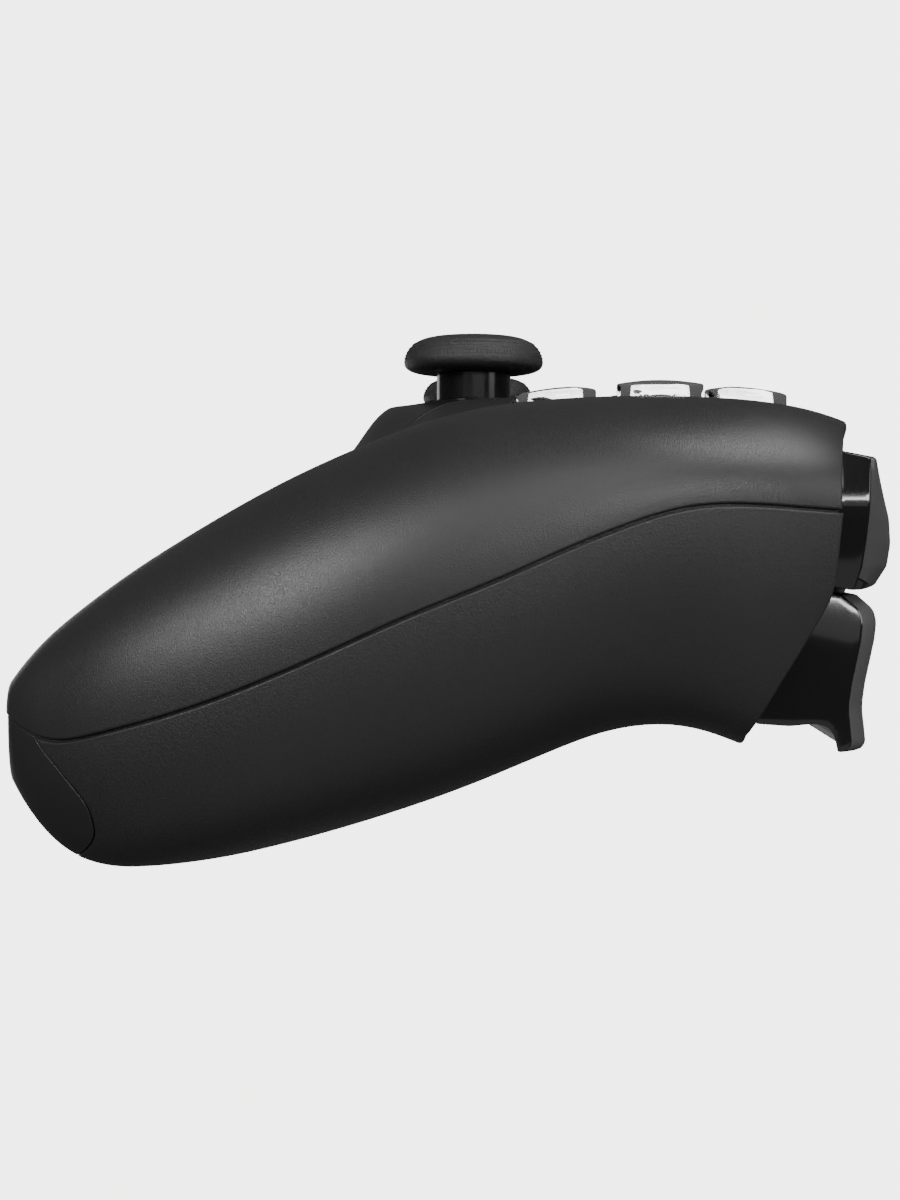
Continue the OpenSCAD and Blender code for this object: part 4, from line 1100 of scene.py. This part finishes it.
for word, (x, y) in zip(FACE_NAMES, face_places()):
    name = "face_button_" + word
    r = BUTTON_R
    turn = np.radians([0, 30, 60, 90])
    rim = [[r - EDGE * (1 - math.cos(a)), BUTTON_TOP - DOME - EDGE * (1 - math.sin(a))] for a in turn]
    over = [[q * (r - EDGE), BUTTON_TOP - DOME * q * q] for q in (0.8, 0.6, 0.4, 0.2)]
    foot = [[r - EDGE * (1 - math.sin(a)), CAP_FOOT + EDGE * (1 - math.cos(a))] for a in turn]
    cap = [[0, CAP_FOOT], *foot, *rim, *over, [0, BUTTON_TOP]]
    cap = lathe(name + "_cap", cap, (x, y, 0), CLEAR, 128, sharp=32)
    lean_outward(cap)
    placed(cap, name, "clear_button", name)
    wide = r + FLANGE_OUT
    flange = [[0, CORE_FOOT], [wide, CORE_FOOT], [wide, FLANGE_TOP], [r - 0.1, FLANGE_TOP]]
    core = [*flange, [r - 0.1, CORE_SIDE], [r - 0.6, 55.1], [r - 2, 55.75], [r - 3.5, 56.1], [0, 56.25]]
    placed(lathe(name + "_core", core, (x, y, 0), CORE, 64), name, "dark_button")

# Direction keys
KEY_NAMES = ["right", "up", "left", "down"]
for k, word in enumerate(KEY_NAMES):
    outline = filled(rounded(turned_by(KEY_OUTLINE, k), 0.8, 5), 0.7)
    at = (-CLUSTER_AT[0], CLUSTER_AT[1], 0)
    name = "key_" + word
    cap = bevelled(name + "_cap", outline, CAP_FOOT, KEY_TOP, 0.55, 0.15, at, CLEAR)
    placed(cap, name, "clear_button", name)
    core = bevelled(name + "_core", grown(outline, -0.08), CORE_FOOT, CORE_SIDE, 0.1, 0.0, at, CORE)
    placed(core, name, "dark_button")


def face_z(x, y):
    q = to_sv([[x, y]], True)
    return float(surf(q[:, 0], q[:, 1], True)[0, 2])


# Menu, home and mute buttons
MENU_FOOT = 50.4
HOME_FOOT = 51.2
for side, word in SIDES:
    name = word + "_menu_button"
    top = face_z(*MENU_AT) + 0.6
    at = (side * MENU_AT[0], MENU_AT[1], 0)
    outline = slot_outline((0, 0), MENU_HALF, MENU_R, False)
    bar = bevelled(name + "_bar", outline, MENU_FOOT, top, 0.45, 0.08, at, DARK)
    placed(bar, name, "dark_button", name)
home_top = FACE_Z + 0.5
edge = [[HOME_R, -1.2], [HOME_R, -0.4], [HOME_R - 0.4, -0.05], [HOME_R - 1.2, 0], [HOME_R - 2.2, -0.1]]
profile = [[0, HOME_FOOT], [HOME_R, HOME_FOOT], *(smoothed(edge, 3) + [0, home_top]), [0, home_top - 0.22]]
disc = lathe("home_button_disc", profile, (*HOME_AT, 0), DARK, 72)
placed(disc, "home_button", "dark_button", "home_button")
outline = slot_outline((0, 0), MUTE_HALF, MUTE_R, True)
bar = bevelled("mute_button_bar", outline, HOME_FOOT, FACE_Z + 0.38, 0.4, 0.02, (*MUTE_AT, 0), DARK)
placed(bar, "mute_button", "dark_button", "mute_button")

# Thumbsticks: heights are from the pivot, and those of the cap's outline from the cap's top
PIVOT_Z = 46.5
CAP_TOP = 19.45
CAP_LINE = [
    [0, -4.85], [5.2, -4.85], [7.3, -4.78], [8.55, -4.5], [9.25, -4], [9.45, -3.2], [9.27, -2.35],
    [8.8, -1.5], [8.1, -0.8], [7.2, -0.33], [6.2, -0.07], [5.2, 0], [4.4, -0.2], [3.4, -0.6],
    [2.3, -0.9], [0, -1],
]
CAP_POINTS = 150
RIM_R = 5.8
KNURL_COUNT = 66
KNURL_DEEP = 0.13
STEM_R = 5
STEM_FOOT_R = 1.9
STEM_TOP = CAP_TOP - 4.9
BALL_R = 12.1
BALL_WALL = 1


def knurl(turns, r, z):
    """A fine diamond pattern on the rim of a stick cap."""
    weight = float(smoother((r - 5.9) / 0.7) * smoother((z - CAP_TOP + 3.5) / 0.6))
    slant = 8.5 * z + 3 * r
    wave = np.sin(KNURL_COUNT * turns + slant) * np.sin(KNURL_COUNT * turns - slant)
    return weight * KNURL_DEEP * (wave - 0.5)


def ball_arc(r, start, end, n):
    return [[r * math.sin(a), r * math.cos(a)] for a in np.radians(np.linspace(start, end, n))]


line = through(CAP_LINE, CAP_POINTS) + [0, CAP_TOP]
line[0, 0] = line[-1, 0] = 0.0
line = line[[i for i in range(CAP_POINTS) if i % 4 == 0 or line[i, 0] > RIM_R or i == CAP_POINTS - 1]]
neck = [[0, STEM_TOP], [STEM_R, STEM_TOP], [STEM_R, 12.6], [STEM_R, 11.4]]
ball = ball_arc(BALL_R, 24.4, 64, 14) + ball_arc(BALL_R - BALL_WALL, 64, 10, 16)
stem = [*neck, *ball, [STEM_FOOT_R, 0], [0, 0]]
for side, word in SIDES:
    at = (side * STICK_AT[0], STICK_AT[1], PIVOT_Z)
    cap = lathe(word + "_stick_cap_rubber", line, at, RUBBER, 396, sharp=70, bump=knurl)
    placed(cap, word + "_stick", "stick_rubber", word + "_stick_cap")
    turned = lathe(word + "_stick_stem_turned", stem[::-1], at, STEM, 112, sharp=20)
    placed(turned, word + "_stick", "stick_plastic", word + "_stick_stem")

# Bumpers: each point of the section is (y, z, how far it falls back towards the outer end)
BUMPER_IN, BUMPER_OUT = 36.0, 66.0
BUMPER_DEPTH = 6.3
BUMPER_TOP, BUMPER_FOOT = 49.2, 33.4
BUMPER_SECTION = np.array([
    [50.45, 48.4, 2.25], [52.7, 41.3, 5.1], [52.96, 38.3, 5.7],
    [52.5, 35.6, 5.6], [50.9, BUMPER_FOOT, 4.6], [49.5, 32.95, 3.5],
])
BUMPER_RADII = [0.3, 2, 0.8, 1.6, 4, 5, 0.45, 0.3]
DISH_LOW, DISH_HIGH = 43.1, 44.2


def bumper_ring(x):
    fall = ((x - BUMPER_IN) / (BUMPER_OUT - BUMPER_IN)) ** 6
    back = FRONT_Y - BUMPER_DEPTH - BAY_LEAN * (x - BUMPER_IN) - 0.8 * fall
    front = np.stack([BUMPER_SECTION[:, 0] - fall * BUMPER_SECTION[:, 2], BUMPER_SECTION[:, 1]], -1)
    points = np.vstack([[[back, BUMPER_TOP]], front, [[back - 0.6 * fall, BUMPER_FOOT]]])[::-1]
    return filled_even(rounded(points, BUMPER_RADII, 6), 110)


def filled_even(loop, n):
    """A closed loop resampled to n points, evenly along it, starting at its first point."""
    ring = np.vstack([loop, loop[:1]])
    run = run_of(ring)
    at = np.linspace(0, run[-1], n, endpoint=False)
    return np.stack([np.interp(at, run, ring[:, 0]), np.interp(at, run, ring[:, 1])], -1)


def bumper_dish(verts):
    """The upper part of the outer end stands back from the lower part."""
    near = smoother((verts[:, 0] - BUMPER_OUT + 1.5) / 1.3)
    z = verts[:, 2]
    high = np.maximum(z - DISH_HIGH, 0)
    upper = 0.16 * np.clip((z - DISH_LOW) / (DISH_HIGH - DISH_LOW), 0, 1) + 0.2 * high + 0.02 * high ** 2
    return -near * (upper + 0.012 * np.minimum(z - DISH_LOW, 0) ** 2)


sample = bumper_ring(45.0)
sample_t = unit(np.roll(sample, -1, 0) - np.roll(sample, 1, 0))
BUMPER_FRONT = (sample_t[:, 1] > 0.3) & (sample[:, 0] > 48.5)
bumper_stops = end_stations(BUMPER_IN, BUMPER_OUT, 34)


def bumper_pick(i, j):
    """The satin front, clear of the rounded ends."""
    return BUMPER_FRONT[j] and END_COUNT - 1 <= i < len(bumper_stops) - END_COUNT


for side, word in SIDES:
    name = word + "_bumper"
    key = drawn(name + "_key", bumper_ring, bumper_stops, side, bumper_pick, bumper_dish, step=0.55,
                levels=[42.6, DISH_LOW, 43.65, DISH_HIGH, 44.7])
    placed(key, name, "shoulder", name)

# Triggers, as side outlines about the trigger pin
TRIGGER_IN, TRIGGER_OUT = 37.4, 63.0
TRIGGER_PIN = np.array([40.0, 32.0])
TRIGGER_SECTION = np.array([
    [5, 0.6], [7.4, 0.4], [9.45, -1.4], [9.8, -2.9], [9.55, -5], [8.45, -10], [8.05, -12.9], [8.3, -15],
    [8.5, -17], [8.1, -17.75], [7.1, -18.05], [6.4, -18], [5.2, -16.5], [3.8, -15.1], [2.3, -14.7],
    [-0.85, -15], [-5.2, -14.7], [-3.6, -8], [-2.9, -1], [-2.3, 1.4], [-0.8, 2.9], [1.4, 2.8], [3.2, 1.5],
])[::-1]
TRIGGER_RADII = [3, 2, 2, 2, 2, 3, 0.6, 6, 3, 3, 2, 0.7, 0.8, 0.8, 1, 6, 9, 9, 8, 3, 2, 0.7, 2]
TRIGGER_RING = filled_even(rounded(TRIGGER_SECTION, TRIGGER_RADII, 6), 170)
ring_t = unit(np.roll(TRIGGER_RING, -1, 0) - np.roll(TRIGGER_RING, 1, 0))
FRONT_SHARE = smoother((ring_t[:, 1] - 0.1) / 0.6) * smoother((TRIGGER_RING[:, 0] - 4.5) / 2)
EASE_LONG, EASE_DEEP = 2.6, 2.2
# The lower back is deep only near the outer end, so that a pulled trigger clears the shell
BACK_FROM, BACK_LONG = 52, 7
BACK_Y = -1.4
BACK_SHARE = 0.85


def trigger_ring(x):
    end = np.clip((x - (TRIGGER_OUT - EASE_LONG)) / EASE_LONG, 0, 1)
    ring = TRIGGER_RING.copy()
    ring[:, 0] -= EASE_DEEP * end ** 2.2 * smoother((ring[:, 0] - 3) / 5.2)
    drawn_in = BACK_SHARE * (1 - smoother((x - BACK_FROM) / BACK_LONG)) * smoother((-ring[:, 1] - 3) / 4)
    ring[:, 0] += drawn_in * np.maximum(BACK_Y - ring[:, 0], 0)
    return ring + TRIGGER_PIN


def trigger_dish(verts):
    """The outer side is slightly round from top to bottom."""
    near = smoother((verts[:, 0] - TRIGGER_OUT + 3) / 2.8)
    z = verts[:, 2] - 24.6 + 0.25 * (verts[:, 1] - 44)
    return -near * np.where(z > 0, 0.011, 0.0035) * z * z


stops = end_stations(TRIGGER_IN, TRIGGER_OUT, 14)
tail = [(TRIGGER_OUT - EASE_LONG * a, 0.0) for a in (1, 0.85, 0.7, 0.58, 0.46, 0.35, 0.25, 0.16, 0.1)]
even = [s for s in stops[:-END_COUNT] if s[0] < TRIGGER_OUT - EASE_LONG - 0.1]
trigger_stops = even + tail + stops[-END_COUNT:]


def trigger_pick(i, j):
    """The satin front, clear of the rounded ends."""
    return FRONT_SHARE[j] > 0.35 and END_COUNT - 1 <= i < len(trigger_stops) - END_COUNT + 1


for side, word in SIDES:
    name = word + "_trigger"
    lever = drawn(name + "_lever", trigger_ring, trigger_stops, side, trigger_pick, trigger_dish)
    placed(lever, name, "shoulder", name)


# Walls that close the bays and the strips behind the seams
def slab(name, rows, away):
    """A closed thin plate from a grid of points and the way its other side lies."""
    n, m = rows.shape[:2]
    verts = np.vstack([rows.reshape(-1, 3), (rows + away).reshape(-1, 3)])
    ids = np.arange(n * m).reshape(n, m)
    faces = []
    for i in range(n - 1):
        for j in range(m - 1):
            f = [ids[i, j], ids[i, j + 1], ids[i + 1, j + 1], ids[i + 1, j]]
            faces += [f, [k + n * m for k in f[::-1]]]
    rim = [*ids[0, :], *ids[1:, -1], *ids[-1, -2::-1], *ids[-2:0:-1, 0]]
    for a, b in zip(rim, rim[1:] + rim[:1]):
        faces.append([b, a, a + n * m, b + n * m])
    a, b, c = verts[faces[0][0]], verts[faces[0][1]], verts[faces[0][2]]
    if float(np.cross(b - a, c - a) @ np.asarray(away).reshape(-1, 3)[0]) > 0:
        faces = [f[::-1] for f in faces]
    return add_mesh(name, verts, faces, REAR, sharp=30)


CURTAIN_X = 64.5
WALL_INSET = 0.8
WALL_BACK = 0.9
WALL_THICK = 0.8
BAY_MIDDLE = [55, 0, 32]
for up, word in ((True, "upper"), (False, "lower")):
    edge = spaced(BAY_EDGE[up], up, 0.8)
    p = surf(edge[:, 0], edge[:, 1], up)
    p = p[p[:, 0] > CURTAIN_X + 0.3]
    p = p - WALL_INSET * unit(p * [1, 0, 1] - BAY_MIDDLE)
    inner_z = np.clip(p[:, 2], 15, 48)
    rows = []
    for share in (0, 0.3, 0.65, 1):
        x = p[:, 0] + (CURTAIN_X - p[:, 0]) * share
        z = p[:, 2] + (inner_z - p[:, 2]) * share
        rows.append(np.stack([x, p[:, 1] - WALL_BACK, z], -1))
    for side, hand in SIDES:
        plate = slab(hand + "_" + word + "_bay_wall", np.array(rows) * [side, 1, 1], [0, -WALL_THICK, 0])
        placed(plate, "pad_body", "black_shell")

STRIP_HALF = 0.8
STRIP_THICK = 0.5
STRIP_DEEP = 0.55
STRIP_TIP_LESS = 0.3


def seam_strip(name, s, v):
    """A dark strip that backs a seam, so that no light passes through the body."""
    at = np.full_like(s, v)
    p = (surf(s, at, True) + surf(s, at, False)) / 2
    near = np.full_like(s, abs(v - 2e-3))
    out = unit(unit(normals_at(s, near, True) + normals_at(s, near, False)) * [1, 1, 0])
    deep = (STRIP_DEEP - STRIP_TIP_LESS * smoother((np.abs(s) - 10) / 0.8))[:, None]
    rows = [p - out * deep + [0, 0, dz] for dz in (-STRIP_HALF, 0, STRIP_HALF)]
    placed(slab(name, np.array(rows), -out[None] * STRIP_THICK), "pad_body", "black_shell")


NOSE_S = np.array([10.8, 10.85, 10.89, 10.92, 10.945, 10.96, 10.972, 10.982, 10.99])
side_s = np.append(np.linspace(float(BAY_EDGE[True][0, 0]) + 0.02, 10.75, 165), NOSE_S)
seam_strip("right_seam_strip", side_s, 1.0)
seam_strip("left_seam_strip", -side_s, 1.0)
seam_strip("front_seam_strip", np.linspace(-2, 2, 60), 1.0)
inner_s = np.concatenate([-NOSE_S[::-1], np.linspace(-10.7, 10.7, 260), NOSE_S])
seam_strip("inner_seam_strip", inner_s, 0.0)

# CAD nodes that keep their own meshes
REPLACED = {n for o in bpy.data.objects for n in o.get("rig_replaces", [])}
SLOT_OF = {p["node"]: p["material_slot"] for p in frame["record"]["subparts"]}
for name, obj in frame["nodes"].items():
    if name not in REPLACED:
        obj.data.materials.clear()
        obj.data.materials.append(SLOT_MATERIALS[SLOT_OF[name]])


# Stage, light and camera
PALE = (1.0, 1.0, 0.985)
PALE_LEVEL = 4.5
FLOOR_R = 3000.0
FLOOR_BEND = 600
FLOOR_DROP = 0.4


def glow_material(name, color, level):
    mat = bpy.data.materials.new(name)
    mat.use_nodes = True
    tree = mat.node_tree
    tree.nodes.clear()
    out = node(tree, "ShaderNodeOutputMaterial")
    glow = node(tree, "ShaderNodeEmission", strength=level)
    glow.inputs["Color"].default_value = (*color, 1)
    link(tree, glow, "Emission", out, "Surface")
    return mat


def backdrop():
    """A pale floor that turns up into a dome far away; it is seen, but it lights nothing."""
    n = 64
    rise, far = FLOOR_BEND, FLOOR_R + FLOOR_BEND
    rings = [(FLOOR_R, -FLOOR_DROP)]
    for a in np.radians(np.arange(15, 91, 15)):
        rings.append((FLOOR_R + rise * math.sin(a), rise - (rise + FLOOR_DROP) * math.cos(a)))
    rings += [(far * math.cos(a), rise + far * math.sin(a)) for a in np.radians(np.arange(10, 81, 10))]
    turns = np.linspace(0, 2 * np.pi, n, endpoint=False)
    verts = [[r * math.cos(a), r * math.sin(a), z] for r, z in rings for a in turns]
    last = (len(rings) - 1) * n
    faces = [list(range(n)), *strip_faces(len(rings), n), list(range(last, last + n))]
    obj = add_mesh("pale_floor", verts, faces, glow_material("pale_floor", PALE, PALE_LEVEL))
    obj.visible_diffuse = False
    obj.visible_glossy = False
    obj.visible_shadow = False
    return obj


backdrop()


def studio_world():
    """A grey surround that is a little brighter above."""
    world = bpy.data.worlds.new("studio")
    world.use_nodes = True
    tree = world.node_tree
    tree.nodes.clear()
    out = node(tree, "ShaderNodeOutputWorld")
    fill = node(tree, "ShaderNodeBackground", strength=1.0)
    where = node(tree, "ShaderNodeTexCoord")
    split = node(tree, "ShaderNodeSeparateXYZ")
    height = node(tree, "ShaderNodeMapRange", from_min=-1.0)
    ramp = node(tree, "ShaderNodeValToRGB")
    ramp.color_ramp.elements[0].color = (0.07, 0.07, 0.07, 1)
    ramp.color_ramp.elements[1].color = (0.16, 0.16, 0.163, 1)
    middle = ramp.color_ramp.elements.new(0.5)
    middle.color = (0.09, 0.09, 0.09, 1)
    link(tree, where, "Generated", split, "Vector")
    link(tree, split, "Z", height, "Value")
    link(tree, height, "Result", ramp, "Fac")
    link(tree, ramp, "Color", fill, "Color")
    link(tree, fill, "Background", out, "Surface")
    return world


bpy.context.scene.world = studio_world()


def softbox(name, at, look, size, power):
    light = bpy.data.lights.new(name, "AREA")
    light.shape = "RECTANGLE"
    light.size, light.size_y = size
    light.energy = power
    obj = bpy.data.objects.new(name, light)
    obj.location = at
    obj.rotation_euler = (Vector(look) - Vector(at)).to_track_quat("-Z", "Y").to_euler()
    obj.visible_camera = False
    bpy.context.scene.collection.objects.link(obj)
    return obj


softbox("left_softbox", (0.47, -0.4, 0.29), (0.06, -0.02, 0.035), (0.25, 0.19), 2.1)
softbox("right_softbox", (0.22, 0.28, 0.53), (0.06, 0.02, 0.045), (0.3, 0.3), 2.1)
softbox("front_softbox", (0.5, 0.0, 0.4), (0.06, 0.0, 0.04), (0.25, 0.25), 0.7)
softbox("low_softbox", (-0.45, 0.0, -0.22), (0.05, 0, 0.02), (0.2, 0.9), 0.06)
softbox("fill_softbox", (0.75, 0.0, 0.16), (0.06, 0.0, 0.04), (0.9, 0.2), 0.3)
softbox("floor_softbox", (0.4, 0.05, -0.35), (0.06, 0.0, 0.03), (0.8, 0.6), 0.55)
softbox("strip_softbox", (0.5, 0.16, 0.17), (0.066, 0.047, 0.0437), (0.35, 0.03), 0.8)
softbox("side_softbox", (0.33, 0.5, 0.2), (0.066, 0.04, 0.045), (0.2, 0.2), 0.5)
softbox("rim_softbox", (-0.5, -0.35, 0.0), (0.06, -0.05, 0.018), (0.3, 0.3), 0.45)

camera = bpy.data.cameras.new("photo_camera")
camera.lens = 49.65
camera.sensor_width = 36.0
PHOTO_HIGH = 1200
camera.shift_x = -42 / PHOTO_HIGH
camera.shift_y = -73 / PHOTO_HIGH
camera.clip_start = 0.01
eye = bpy.data.objects.new("photo_camera", camera)
eye.location = (0.256, 0.0044, 0.0403)
eye.rotation_euler = (math.pi / 2, 0, math.pi / 2)
bpy.context.scene.collection.objects.link(eye)
bpy.context.scene.camera = eye
